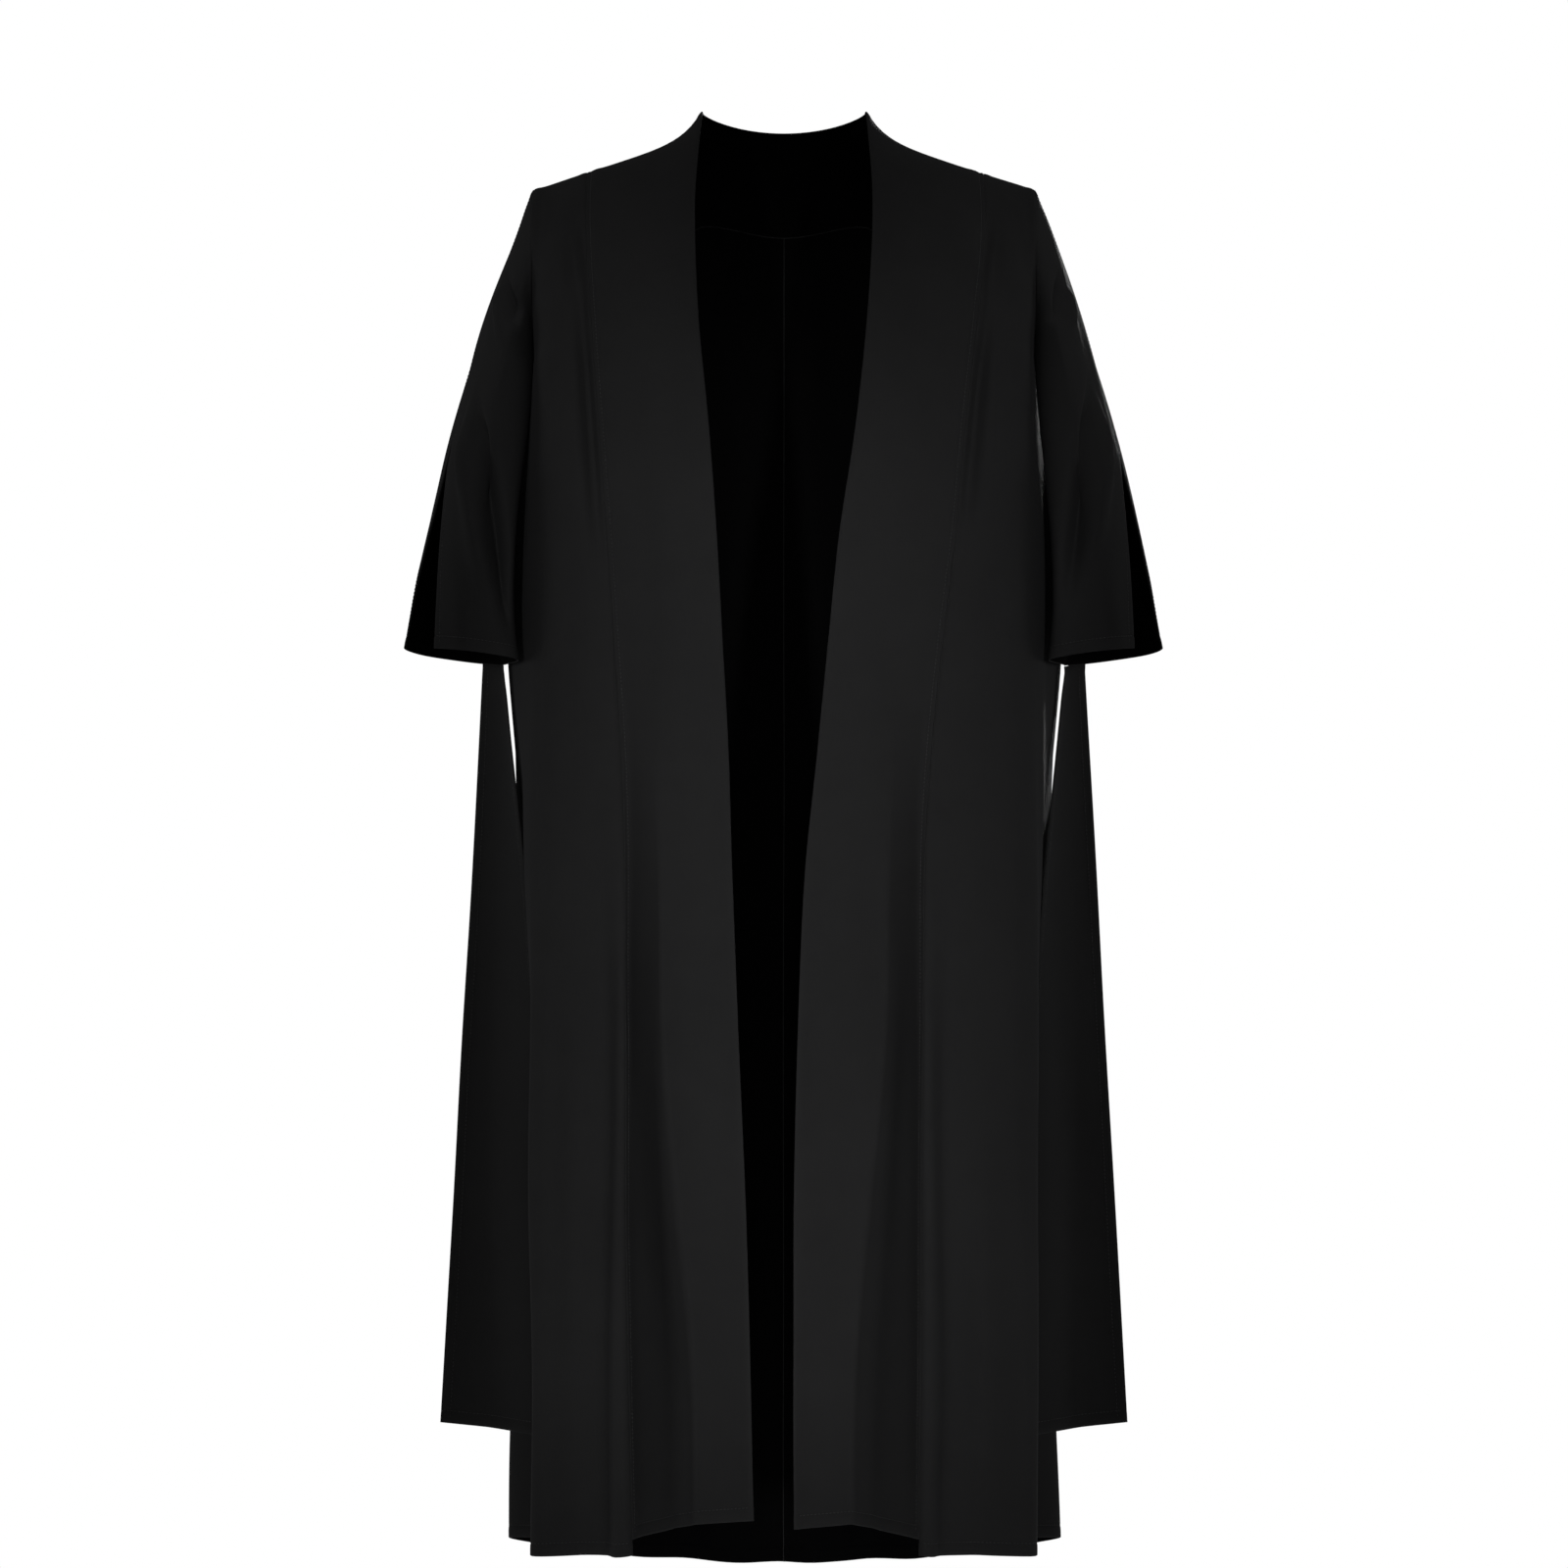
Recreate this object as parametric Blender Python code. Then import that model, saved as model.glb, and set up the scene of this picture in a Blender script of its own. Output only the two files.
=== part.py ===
"""Usher gown: an open-fronted cloth gown in its worn, hollow form.

Metres, +Z up, the front faces -Y. The origin is between the two highest points of the neckline, where
the wearer's neck and shoulders hold the gown. "Right" and "left" are the wearer's, so right is -X.

Every piece is a cloth wall lofted through rows. The body's rows run from the shoulder line to the hem
and pass through guides: the front edge, the bottom of the band's trough, the band seam, the middle
and the outer corner of the front panel, the side seam, then four guides round the back to its centre.
The back is cut into a yoke over the shoulders and two skirt halves that meet in a centre seam.
The sleeves run from the armhole to the elbow hem, and the hanging panels fall from that hem.
"""

import math

import bpy
import numpy as np

# Cloth and seams
WALL = 0.002
SEAM_GAP = 0.0003
HALF_GAP = SEAM_GAP / 2

# Shoulder line: a straight slope, with a short rise beside the neck
NECK_HALF_WIDTH = 0.0766
SHOULDER_HALF_WIDTH = 0.2325
SHOULDER_SLOPE = 0.318
NECK_RISE = 0.0235
NECK_RISE_REACH = 0.0155
NECK_DEPTH = 0.085
NECK_DROP = 0.010
NAPE_ROOF = 0.030
# How far below the shoulder line each guide reaches its full depth
ROUNDING = {
    "edge": 0.20, "dip": 0.20, "seam": 0.17, "middle": 0.15, "corner": 0.12,
    "flank": 0.11, "skirt": 0.13, "blade": 0.18, "neck": 0.20, "back": 0.20,
}

# Armhole: an upright oval
UNDERARM_HEIGHT = -0.235
ARMHOLE_HALF_DEPTH = 0.075

# Height of the last row but one, and of the hems below it
SKIRT_HEIGHT = -1.22
ROW_SHARES = (
    0, 0.004, 0.014, 0.030, 0.052, 0.078, 0.103, 0.121, 0.134, 0.1412, 0.155, 0.180, 0.22, 0.27,
    0.33, 0.40, 0.47, 0.54, 0.61, 0.68, 0.75, 0.82, 0.91, 1.0,
)
UNDERARM_ROW = 9
# The row of the seam between the back yoke and the back skirt
YOKE_ROW = 5

# Distance of each guide from the middle plane, for the wearer's right and left front edges
FRONT_WIDTHS = {
    "height":     (0.00, -0.10, -0.20, -0.30, -0.40, -0.50, -0.60, -0.70, -0.85, -1.00, -1.15, -1.32),
    "edge_right": (.0766, .0810, .0775, .0680, .0608, .0554, .0500, .0470, .0415, .0350, .0304, .0270),
    "edge_left":  (.0766, .0810, .0753, .0648, .0497, .0395, .0297, .0195, .0124, .0088, .0093, .0097),
    "dip_right":  (.1220, .1300, .1280, .1210, .1150, .1120, .1160, .1135, .1100, .0970, .0830, .0810),
    "dip_left":   (.1220, .1310, .1270, .1180, .1070, .0990, .0980, .0940, .0910, .0780, .0640, .0610),
    "seam_right": (.1806, .1820, .1760, .1683, .1608, .1539, .1473, .1435, .1430, .1430, .1405, .1360),
    "seam_left":  (.1806, .1847, .1764, .1652, .1557, .1432, .1329, .1267, .1250, .1245, .1243, .1210),
    "corner":     (.2195, .2215, .2245, .2245, .2245, .2260, .2280, .2290, .2290, .2300, .2290, .2270),
}
# How far each guide stands in front of the shoulder line
FRONT_DEPTHS = {
    "height": (0.00, -0.10, -0.20, -0.30, -0.40, -0.50, -0.60, -0.70, -0.85, -1.00, -1.15, -1.32),
    "edge":   (0.118, 0.120, 0.122, 0.124, 0.126, 0.128, 0.130, 0.131, 0.133, 0.135, 0.137, 0.139),
    "dip":    (0.120, 0.122, 0.125, 0.128, 0.130, 0.132, 0.134, 0.135, 0.134, 0.132, 0.131, 0.130),
    "seam":   (0.112, 0.115, 0.120, 0.126, 0.131, 0.136, 0.142, 0.151, 0.165, 0.178, 0.188, 0.196),
    "middle": (0.100, 0.106, 0.112, 0.120, 0.126, 0.130, 0.136, 0.141, 0.146, 0.150, 0.153, 0.156),
    "corner": (0.080, 0.085, 0.092, 0.100, 0.105, 0.109, 0.115, 0.121, 0.130, 0.138, 0.144, 0.148),
}
# Plan places of the side seam, which sinks into a valley below the waist, and of the back's guides
BACK_SECTIONS = {
    "height":  (0.00, -0.10, -0.235, -0.30, -0.40, -0.50, -0.60, -0.70, -0.85, -1.00, -1.15, -1.34),
    "side_x":  (.2325, .2325, .2325, .2410, .2545, .2560, .2460, .2360, .2180, .2020, .1900, .1830),
    "side_y":  (.0000, .0000, .0000, .0020, .0040, .0040, .0000, .0000, .0000, .0020, .0040, .0060),
    "flank_x": (.2220, .2240, .2290, .2395, .2535, .2575, .2520, .2430, .2260, .2110, .2010, .1950),
    "flank_y": (.0820, .0860, .0820, .0620, .0500, .0450, .0460, .0500, .0560, .0600, .0640, .0680),
    "skirt_x": (.2000, .2050, .2140, .2220, .2330, .2430, .2470, .2500, .2530, .2560, .2580, .2620),
    "skirt_y": (.1000, .1060, .1070, .1030, .1000, .1000, .1040, .1080, .1130, .1170, .1210, .1250),
    "blade_x": (.1450, .1500, .1600, .1650, .1720, .1800, .1860, .1900, .1950, .2000, .2040, .2080),
    "blade_y": (.1220, .1280, .1350, .1360, .1380, .1400, .1450, .1500, .1580, .1660, .1740, .1820),
    "neck_x":  (.0766, .0800, .0840, .0860, .0880, .0900, .0920, .0940, .0970, .1000, .1030, .1060),
    "neck_y":  (.1340, .1390, .1450, .1470, .1490, .1510, .1560, .1610, .1700, .1790, .1880, .1970),
    "back_y":  (.1380, .1420, .1480, .1500, .1520, .1540, .1590, .1640, .1730, .1820, .1920, .2020),
}
# Height of the hem on each guide
HEMS = {
    "edge_right": -1.292, "edge_left": -1.300, "dip": -1.298, "band_seam": -1.301,
    "panel_seam": -1.315, "middle": -1.320, "corner": -1.322, "side": -1.332,
    "flank": -1.338, "skirt": -1.344, "blade": -1.362, "neck": -1.376, "back": -1.380,
}

# Long folds that hang on the back, by their distance from the middle plane at their top and hem
BACK_FOLDS = (
    {"x_top": -0.150, "x_hem": -0.176, "top": -0.24, "width": 0.026, "depth": 0.018},
    {"x_top": -0.082, "x_hem": -0.098, "top": -0.15, "width": 0.030, "depth": 0.022},
    {"x_top": -0.012, "x_hem": -0.006, "top": -0.28, "width": 0.024, "depth": 0.015},
    {"x_top": 0.066, "x_hem": 0.083, "top": -0.16, "width": 0.029, "depth": 0.023},
    {"x_top": 0.140, "x_hem": 0.168, "top": -0.26, "width": 0.025, "depth": 0.017},
)

# Elbow hem of a sleeve, seen from above: eight places round the arm, from the outer edge forwards
ELBOW_HEM = (
    {"place": "outer edge", "x": 0.354, "y": 0.020, "z": -0.499},
    {"place": "front outer", "x": 0.322, "y": -0.070, "z": -0.501},
    {"place": "front", "x": 0.280, "y": -0.098, "z": -0.505},
    {"place": "front inner", "x": 0.242, "y": -0.092, "z": -0.512},
    {"place": "inner", "x": 0.259, "y": -0.020, "z": -0.515},
    {"place": "back inner", "x": 0.268, "y": 0.050, "z": -0.514},
    {"place": "back", "x": 0.302, "y": 0.088, "z": -0.510},
    {"place": "back outer", "x": 0.342, "y": 0.072, "z": -0.504},
)
SLEEVE_ROWS = (0, 0.03, 0.09, 0.18, 0.29, 0.40, 0.50, 0.58, 0.66, 0.75, 0.87, 1.0)
SLEEVE_STEPS = 12
SLIT_START = 0.56
SLIT_TURN = math.radians(47)

# Direction in which the sleeve leaves the armhole, as shares of its length, at the same eight turns
SLEEVE_LEAVES = (
    {"place": "outer edge", "outward": 0.42, "forward": 0.00, "down": 1.00},
    {"place": "front outer", "outward": 0.38, "forward": 0.08, "down": 0.92},
    {"place": "front", "outward": 0.32, "forward": 0.16, "down": 0.85},
    {"place": "front inner", "outward": -0.03, "forward": 0.12, "down": 0.68},
    {"place": "inner", "outward": 0.28, "forward": 0.00, "down": 0.45},
    {"place": "back inner", "outward": 0.38, "forward": -0.06, "down": 0.65},
    {"place": "back", "outward": 0.46, "forward": -0.12, "down": 0.85},
    {"place": "back outer", "outward": 0.44, "forward": -0.06, "down": 0.92},
)
SLEEVE_ENDS = {"outward": 0.19, "down": 1.0}

# Hanging panel: the turns of the elbow hem that it falls from, and its own hem
HANG_FROM = math.radians(188)
HANG_TO = math.radians(249)
HANG_HEM = (
    {"x": 0.192, "y": 0.006, "z": -1.236},
    {"x": 0.232, "y": 0.022, "z": -1.234},
    {"x": 0.278, "y": 0.050, "z": -1.230},
    {"x": 0.323, "y": 0.058, "z": -1.226},
)
HANG_STEPS = 9
HANG_ROWS = 14

CLOTH_COLOUR = (0.011, 0.011, 0.0105, 1.0)
CLOTH_ROUGHNESS = 0.85


def rate_of(values, places):
    """Slope of a curve at each of its own points, as a mean of its two neighbours' slopes."""
    steps = np.diff(values) / np.diff(places)
    return np.concatenate([steps[:1], (steps[:-1] + steps[1:]) / 2, steps[-1:]])


def read(table, column, height):
    """A smooth reading of one column of a table of sections at any height."""
    places = -np.array(table["height"])
    values = np.array(table[column])
    at = np.clip(-np.asarray(height), places[0], places[-1])
    i = np.clip(np.searchsorted(places, at) - 1, 0, len(places) - 2)
    gap = places[i + 1] - places[i]
    t = (at - places[i]) / gap
    slopes = rate_of(values, places)
    return (
        (1 + 2 * t) * (1 - t) ** 2 * values[i]
        + t**2 * (3 - 2 * t) * values[i + 1]
        + gap * t * (1 - t) ** 2 * slopes[i]
        - gap * t**2 * (1 - t) * slopes[i + 1]
    )


def shoulder_height(x):
    """Height of the shoulder line at a distance from the middle plane."""
    out = np.maximum(np.abs(x) - NECK_HALF_WIDTH, 0)
    return -SHOULDER_SLOPE * out - NECK_RISE * (1 - np.exp(-out / NECK_RISE_REACH))


def arch(drop, rounding):
    """Share of its full depth that the cloth has reached at a distance below the shoulder line."""
    t = np.clip(drop / rounding, 0, 1)
    return np.sqrt(1 - (1 - t) ** 2)


TIP_HEIGHT = float(shoulder_height(SHOULDER_HALF_WIDTH))
ARMHOLE_MIDDLE = (TIP_HEIGHT + UNDERARM_HEIGHT) / 2
ARMHOLE_HALF_HEIGHT = (TIP_HEIGHT - UNDERARM_HEIGHT) / 2


def row_heights(top, hem):
    """Heights of a guide's points: shared rows down to the skirt, and then its own hem."""
    heights = top + (SKIRT_HEIGHT - top) * np.array(ROW_SHARES)
    return np.append(heights, hem)


def guide(top, hem, width, depth, rounding, roof=None):
    """One guide's points. width and depth are read at each height, and depth grows under the roof."""
    z = row_heights(top, hem)
    share = arch((top if roof is None else roof) - z, rounding)
    return np.stack([width(z), depth(z) * share, z], axis=1)


def front_guides(side):
    """The guides of a front on the positive side, from its edge to its outer corner, in two lists."""

    def width(name):
        return lambda z: read(FRONT_WIDTHS, name, z)

    def depth(name):
        return lambda z: -read(FRONT_DEPTHS, name, z)

    def top(name):
        return float(shoulder_height(FRONT_WIDTHS[name][0]))

    def middle_width(z):
        return (width(f"seam_{side}")(z) + width("corner")(z)) / 2

    edge, dip, seam = f"edge_{side}", f"dip_{side}", f"seam_{side}"
    middle_top = float(shoulder_height(middle_width(0.0)))
    band = [
        guide(top(edge), HEMS[edge], width(edge), depth("edge"), ROUNDING["edge"]),
        guide(top(dip), HEMS["dip"], width(dip), depth("dip"), ROUNDING["dip"]),
        guide(top(seam), HEMS["band_seam"], width(seam), depth("seam"), ROUNDING["seam"]),
    ]
    panel = [
        guide(top(seam), HEMS["panel_seam"], width(seam), depth("seam"), ROUNDING["seam"]),
        guide(middle_top, HEMS["middle"], middle_width, depth("middle"), ROUNDING["middle"]),
        guide(top("corner"), HEMS["corner"], width("corner"), depth("corner"), ROUNDING["corner"]),
    ]
    return band, panel


def side_guide(facing):
    """The armhole's front (facing -1) or back (+1) edge, and below it the side seam."""
    z = row_heights(TIP_HEIGHT, HEMS["side"])
    z[UNDERARM_ROW] = UNDERARM_HEIGHT
    turn = np.clip((z - ARMHOLE_MIDDLE) / ARMHOLE_HALF_HEIGHT, -1, 1)
    armhole = facing * ARMHOLE_HALF_DEPTH * np.sqrt(1 - turn**2)
    in_armhole = np.arange(len(z)) < UNDERARM_ROW
    return np.stack(
        [
            read(BACK_SECTIONS, "side_x", z),
            np.where(in_armhole, armhole, read(BACK_SECTIONS, "side_y", z)),
            z,
        ],
        axis=1,
    )


def back_guides():
    """The guides of half the back, from beside the armhole to the centre, on the positive side."""

    def column(name):
        return lambda z: read(BACK_SECTIONS, name, z)

    found = []
    for name in ("flank", "skirt", "blade", "neck"):
        top = float(shoulder_height(BACK_SECTIONS[f"{name}_x"][0]))
        width, depth = column(f"{name}_x"), column(f"{name}_y")
        found.append(guide(top, HEMS[name], width, depth, ROUNDING[name]))
    depth, rounding = column("back_y"), ROUNDING["back"]
    found.append(guide(-NECK_DROP, HEMS["back"], np.zeros_like, depth, rounding, NAPE_ROOF))
    return found


def through(guides, steps, before=None, after=None):
    """Rows of a smooth surface through guides, with steps[i] columns between each two of them."""
    first = 2 * guides[0] - guides[1] if before is None else before
    last = 2 * guides[-1] - guides[-2] if after is None else after
    chain = [first, *guides, last]
    columns = []
    for i, count in enumerate(steps):
        p0, p1, p2, p3 = chain[i : i + 4]
        for k in range(count):
            t = k / count
            columns.append(
                p1
                + 0.5 * t * (p2 - p0)
                + t**2 * (p0 - 2.5 * p1 + 2 * p2 - 0.5 * p3)
                + t**3 * (1.5 * (p1 - p2) + 0.5 * (p3 - p0))
            )
    columns.append(chain[-2])
    return np.stack(columns, axis=1)


def below_underarm(guide_points, edge, neighbour):
    """What lies past an edge: the next guide below the underarm, and the edge's own run above it."""
    own_run = 2 * edge - neighbour
    rows = np.arange(len(edge))[:, None]
    return np.where(rows >= UNDERARM_ROW, guide_points, own_run)


def fade_from_top(rows):
    """Weights that fall from 1 at the shoulder line to 0 at the armhole's lower part."""
    shares = np.append(ROW_SHARES, ROW_SHARES[-1] + 1)
    return np.clip(1 - shares[:rows] / ROW_SHARES[UNDERARM_ROW], 0, 1) ** 2


def fold_lift(folds, x, z):
    """How far long hanging folds stand out at a place."""
    lift = np.zeros_like(x)
    for fold in folds:
        down = np.clip((fold["top"] - z) / (fold["top"] - SKIRT_HEIGHT), 0, 1)
        run = down * (2 - down)
        centre = fold["x_top"] + (fold["x_hem"] - fold["x_top"]) * down
        lift += fold["depth"] * run * np.exp(-(((x - centre) / fold["width"]) ** 2))
    return lift


def normals_of(rows):
    """Unit normals of a grid of points, which face as columns x rows does."""
    down = np.gradient(rows, axis=0)
    across = np.gradient(rows, axis=1)
    found = np.cross(across, down)
    return found / np.linalg.norm(found, axis=2, keepdims=True)


def flat_at_shoulder(normals):
    """Fronts and back meet on the shoulder line, so their normals there have no slope along Y."""
    normals = normals.copy()
    normals[0, :, 1] = 0
    normals[0] /= np.linalg.norm(normals[0], axis=1, keepdims=True)
    return normals


BAND_STEPS = (4, 4)
PANEL_STEPS = (3, 3, 4)
BACK_STEPS = (3, 4, 4, 5, 5)


def front_surface(side):
    """Rows of points and normals of a whole front, from its edge to the side, on the positive side."""
    band, panel = front_guides(side)
    edge = side_guide(-1)
    after = below_underarm(back_guides()[0], edge, panel[-1])
    band_rows = through(band, BAND_STEPS, after=panel[1])
    panel_rows = through([*panel, edge], PANEL_STEPS, before=band[1], after=after)
    found = []
    for rows in (band_rows, panel_rows):
        lift = shoulder_height(rows[0, :, 0]) - rows[0, :, 2]
        lift[-1] = 0
        rows[:, :, 2] += fade_from_top(len(rows))[:, None] * lift
        found.append(rows)
    whole = np.concatenate([found[0], found[1][:, 1:]], axis=1)
    return found[0], found[1], flat_at_shoulder(normals_of(whole))


def neckline_point(share):
    """The back neckline, from the side of the neck (0) to the centre (1)."""
    turn = share * math.pi / 2
    return np.array(
        [
            NECK_HALF_WIDTH * math.cos(turn),
            NECK_DEPTH * math.sin(turn),
            -NECK_DROP * math.sin(turn) ** 2,
        ]
    )


def back_share(columns):
    """Weights of the back's columns: 0 up to the outline of the skirt, and 1 between the blades."""
    start = sum(BACK_STEPS[:2])
    end = sum(BACK_STEPS[:3])
    place = np.minimum(np.arange(columns), np.arange(columns)[::-1])
    t = np.clip((place - start) / (end - start), 0, 1)
    return t * t * (3 - 2 * t)


def mirrored(points):
    return points * np.array([-1.0, 1.0, 1.0])


def back_surface():
    """Rows of points and normals of the whole back, from the left side to the right."""
    half = [side_guide(1), *back_guides()]
    corner = front_guides("left")[1][-1]
    before = below_underarm(corner, half[0], half[1])
    chain = half + [mirrored(guide_points) for guide_points in half[-2::-1]]
    steps = BACK_STEPS + BACK_STEPS[::-1]
    rows = through(chain, steps, before=before, after=mirrored(before))
    top = rows[0].copy()
    top[:, 1] = 0
    top[:, 2] = shoulder_height(top[:, 0])
    shoulder_columns = sum(BACK_STEPS[:-1])
    for k in range(BACK_STEPS[-1] + 1):
        point = neckline_point(k / BACK_STEPS[-1])
        top[shoulder_columns + k] = point
        top[-1 - shoulder_columns - k] = mirrored(point)
    rows += fade_from_top(len(rows))[:, None, None] * (top - rows[0])
    lift = fold_lift(BACK_FOLDS, rows[:, :, 0], rows[:, :, 2])
    rows[:, :, 1] += lift * back_share(rows.shape[1])
    return rows, flat_at_neck(-normals_of(rows), shoulder_columns)


def flat_at_neck(normals, shoulder_columns):
    """As flat_at_shoulder, but only on the shoulders and not round the neck."""
    flat = flat_at_shoulder(normals)
    flat[0, shoulder_columns + 1 : -1 - shoulder_columns] = normals[
        0, shoulder_columns + 1 : -1 - shoulder_columns
    ]
    return flat


def elbow_point(turn):
    """A smooth closed curve through the places of the elbow hem."""
    count = len(ELBOW_HEM)
    place = turn / (2 * math.pi) * count
    i = math.floor(place)
    t = place - i
    points = [
        np.array([ELBOW_HEM[(i + k) % count][axis] for axis in "xyz"]) for k in (-1, 0, 1, 2)
    ]
    p0, p1, p2, p3 = points
    return (
        p1
        + 0.5 * t * (p2 - p0)
        + t**2 * (p0 - 2.5 * p1 + 2 * p2 - 0.5 * p3)
        + t**3 * (1.5 * (p1 - p2) + 0.5 * (p3 - p0))
    )


def leaving(turn):
    """The direction in which the sleeve leaves the armhole at a turn round it."""
    count = len(SLEEVE_LEAVES)
    place = turn / (2 * math.pi) * count
    i = math.floor(place)
    t = place - i
    blend = t * t * (3 - 2 * t)
    here, there = (
        np.array([way["outward"], -way["forward"], -way["down"]])
        for way in (SLEEVE_LEAVES[i % count], SLEEVE_LEAVES[(i + 1) % count])
    )
    return here + (there - here) * blend


def sleeve_point(turn, share):
    """A place on a sleeve: turn 0 is its outer edge, a quarter the front; share 0 is the armhole."""
    start = np.array(
        [
            SHOULDER_HALF_WIDTH + SEAM_GAP,
            -ARMHOLE_HALF_DEPTH * math.sin(turn),
            ARMHOLE_MIDDLE + ARMHOLE_HALF_HEIGHT * math.cos(turn),
        ]
    )
    end = elbow_point(turn)
    length = np.linalg.norm(end - start)
    leave = leaving(turn) * length
    arrive = np.array([SLEEVE_ENDS["outward"] * math.cos(turn), 0, -SLEEVE_ENDS["down"]]) * length
    return (
        (1 + 2 * share) * (1 - share) ** 2 * start
        + share**2 * (3 - 2 * share) * end
        + share * (1 - share) ** 2 * leave
        - share**2 * (1 - share) * arrive
    )


NUDGE = 1e-4


def sleeve_normal(turn, share):
    """Outward unit normal of the sleeve; at the armhole it lies in the armhole's plane."""
    round_it = sleeve_point(turn + NUDGE, share) - sleeve_point(turn - NUDGE, share)
    low, high = max(share - NUDGE, 0), min(share + NUDGE, 1)
    along = sleeve_point(turn, high) - sleeve_point(turn, low)
    normal = np.cross(round_it, along)
    if share == 0:
        normal = np.array([0, -math.sin(turn) / ARMHOLE_HALF_DEPTH, math.cos(turn) / ARMHOLE_HALF_HEIGHT])
    return normal / np.linalg.norm(normal)


def slit_turn(share):
    """How far round to the front the free edge of the sleeve front lies."""
    return SLIT_TURN * math.sqrt(max(share - SLIT_START, 0) / (1 - SLIT_START))


def sleeve_grid(first_turn, last_turn, shares):
    """Rows of points and normals of a part of the sleeve; first_turn may change with the share."""
    points, normals = [], []
    for share in shares:
        turns = np.linspace(first_turn(share), last_turn, SLEEVE_STEPS + 1)
        points.append([sleeve_point(turn, share) for turn in turns])
        normals.append([sleeve_normal(turn, share) for turn in turns])
    return np.array(points), np.array(normals)


def hanging_grid():
    """Rows of points and normals of the hanging panel."""
    hem = np.array([[place[axis] for axis in "xyz"] for place in HANG_HEM])
    shares = np.linspace(0, 1, HANG_STEPS + 1)
    ends = np.linspace(0, 1, len(hem))
    low = np.stack([np.interp(shares, ends, hem[:, axis]) for axis in range(3)], axis=1)
    turns = HANG_FROM + (HANG_TO - HANG_FROM) * shares
    high = np.array([elbow_point(turn) for turn in turns]) - np.array([0, 0, SEAM_GAP])
    down = np.linspace(0, 1, HANG_ROWS + 1)[:, None, None]
    rows = high * (1 - down) + low * down
    normals = normals_of(rows)
    normals[0] = [sleeve_normal(turn, 1.0) for turn in turns]
    return rows, normals


def pulled_in(rows, left=0.0, right=0.0, top=0.0, bottom=0.0):
    """The rows with their edges drawn back along the cloth, to leave half a seam's gap."""
    rows = rows.copy()
    for column, inner, gap in ((0, 1, left), (-1, -2, right)):
        step = rows[:, inner] - rows[:, column]
        rows[:, column] += gap * step / np.linalg.norm(step, axis=1, keepdims=True)
    for row, inner, gap in ((0, 1, top), (-1, -2, bottom)):
        step = rows[inner] - rows[row]
        rows[row] += gap * step / np.linalg.norm(step, axis=1, keepdims=True)
    return rows


def cloth_material():
    material = bpy.data.materials.new("black_cloth")
    material.use_nodes = True
    shader = material.node_tree.nodes["Principled BSDF"]
    shader.inputs["Base Color"].default_value = CLOTH_COLOUR
    shader.inputs["Roughness"].default_value = CLOTH_ROUGHNESS
    shader.inputs["Metallic"].default_value = 0.0
    material.diffuse_color = CLOTH_COLOUR
    return material


def wall(name, rows, normals, material, collection):
    """A closed cloth wall: its outer face through the rows, and its inner face WALL inside it."""
    height, width = rows.shape[:2]
    inner = rows - WALL * normals
    points = np.concatenate([rows.reshape(-1, 3), inner.reshape(-1, 3)])
    count = height * width

    def at(i, j):
        return i * width + j

    faces = []
    for i in range(height - 1):
        for j in range(width - 1):
            quad = (at(i, j), at(i + 1, j), at(i + 1, j + 1), at(i, j + 1))
            faces.append(quad)
            faces.append(tuple(index + count for index in reversed(quad)))
    rim = [at(0, j) for j in range(width)]
    rim += [at(i, width - 1) for i in range(1, height)]
    rim += [at(height - 1, j) for j in range(width - 2, -1, -1)]
    rim += [at(i, 0) for i in range(height - 2, 0, -1)]
    for here, there in zip(rim, rim[1:] + rim[:1]):
        faces.append((here, there, there + count, here + count))
    i, j = height // 2, width // 2
    facing = np.cross(rows[i + 1, j] - rows[i, j], rows[i, j + 1] - rows[i, j])
    if facing @ normals[i, j] < 0:
        faces = [tuple(reversed(face)) for face in faces]
    mesh = bpy.data.meshes.new(name)
    mesh.from_pydata(points.tolist(), [], faces)
    mesh.materials.append(material)
    mesh.shade_smooth()
    mesh.set_sharp_from_angle(angle=math.radians(40))
    piece = bpy.data.objects.new(name, mesh)
    collection.objects.link(piece)
    return piece


def turned_to(normals, direction):
    """The normals, turned over where their middle one faces away from a direction."""
    middle = normals[normals.shape[0] // 2, normals.shape[1] // 2]
    return normals if middle @ direction > 0 else -normals


def kept_inside(normals, column, out):
    """Turns an armhole edge's normals so that its wall stays on the body's side of the armhole."""
    above = slice(0, UNDERARM_ROW)
    edge = normals[above, column]
    edge[:, 0] = out * np.maximum(out * edge[:, 0], 0)
    normals[above, column] = edge / np.linalg.norm(edge, axis=1, keepdims=True)


def share_seam(first, second):
    """Gives two edges that meet below the underarm the mean of their normals."""
    below = slice(UNDERARM_ROW, None)
    mean = first[below] + second[below]
    mean /= np.linalg.norm(mean, axis=1, keepdims=True)
    first[below] = mean
    second[below] = mean


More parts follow.
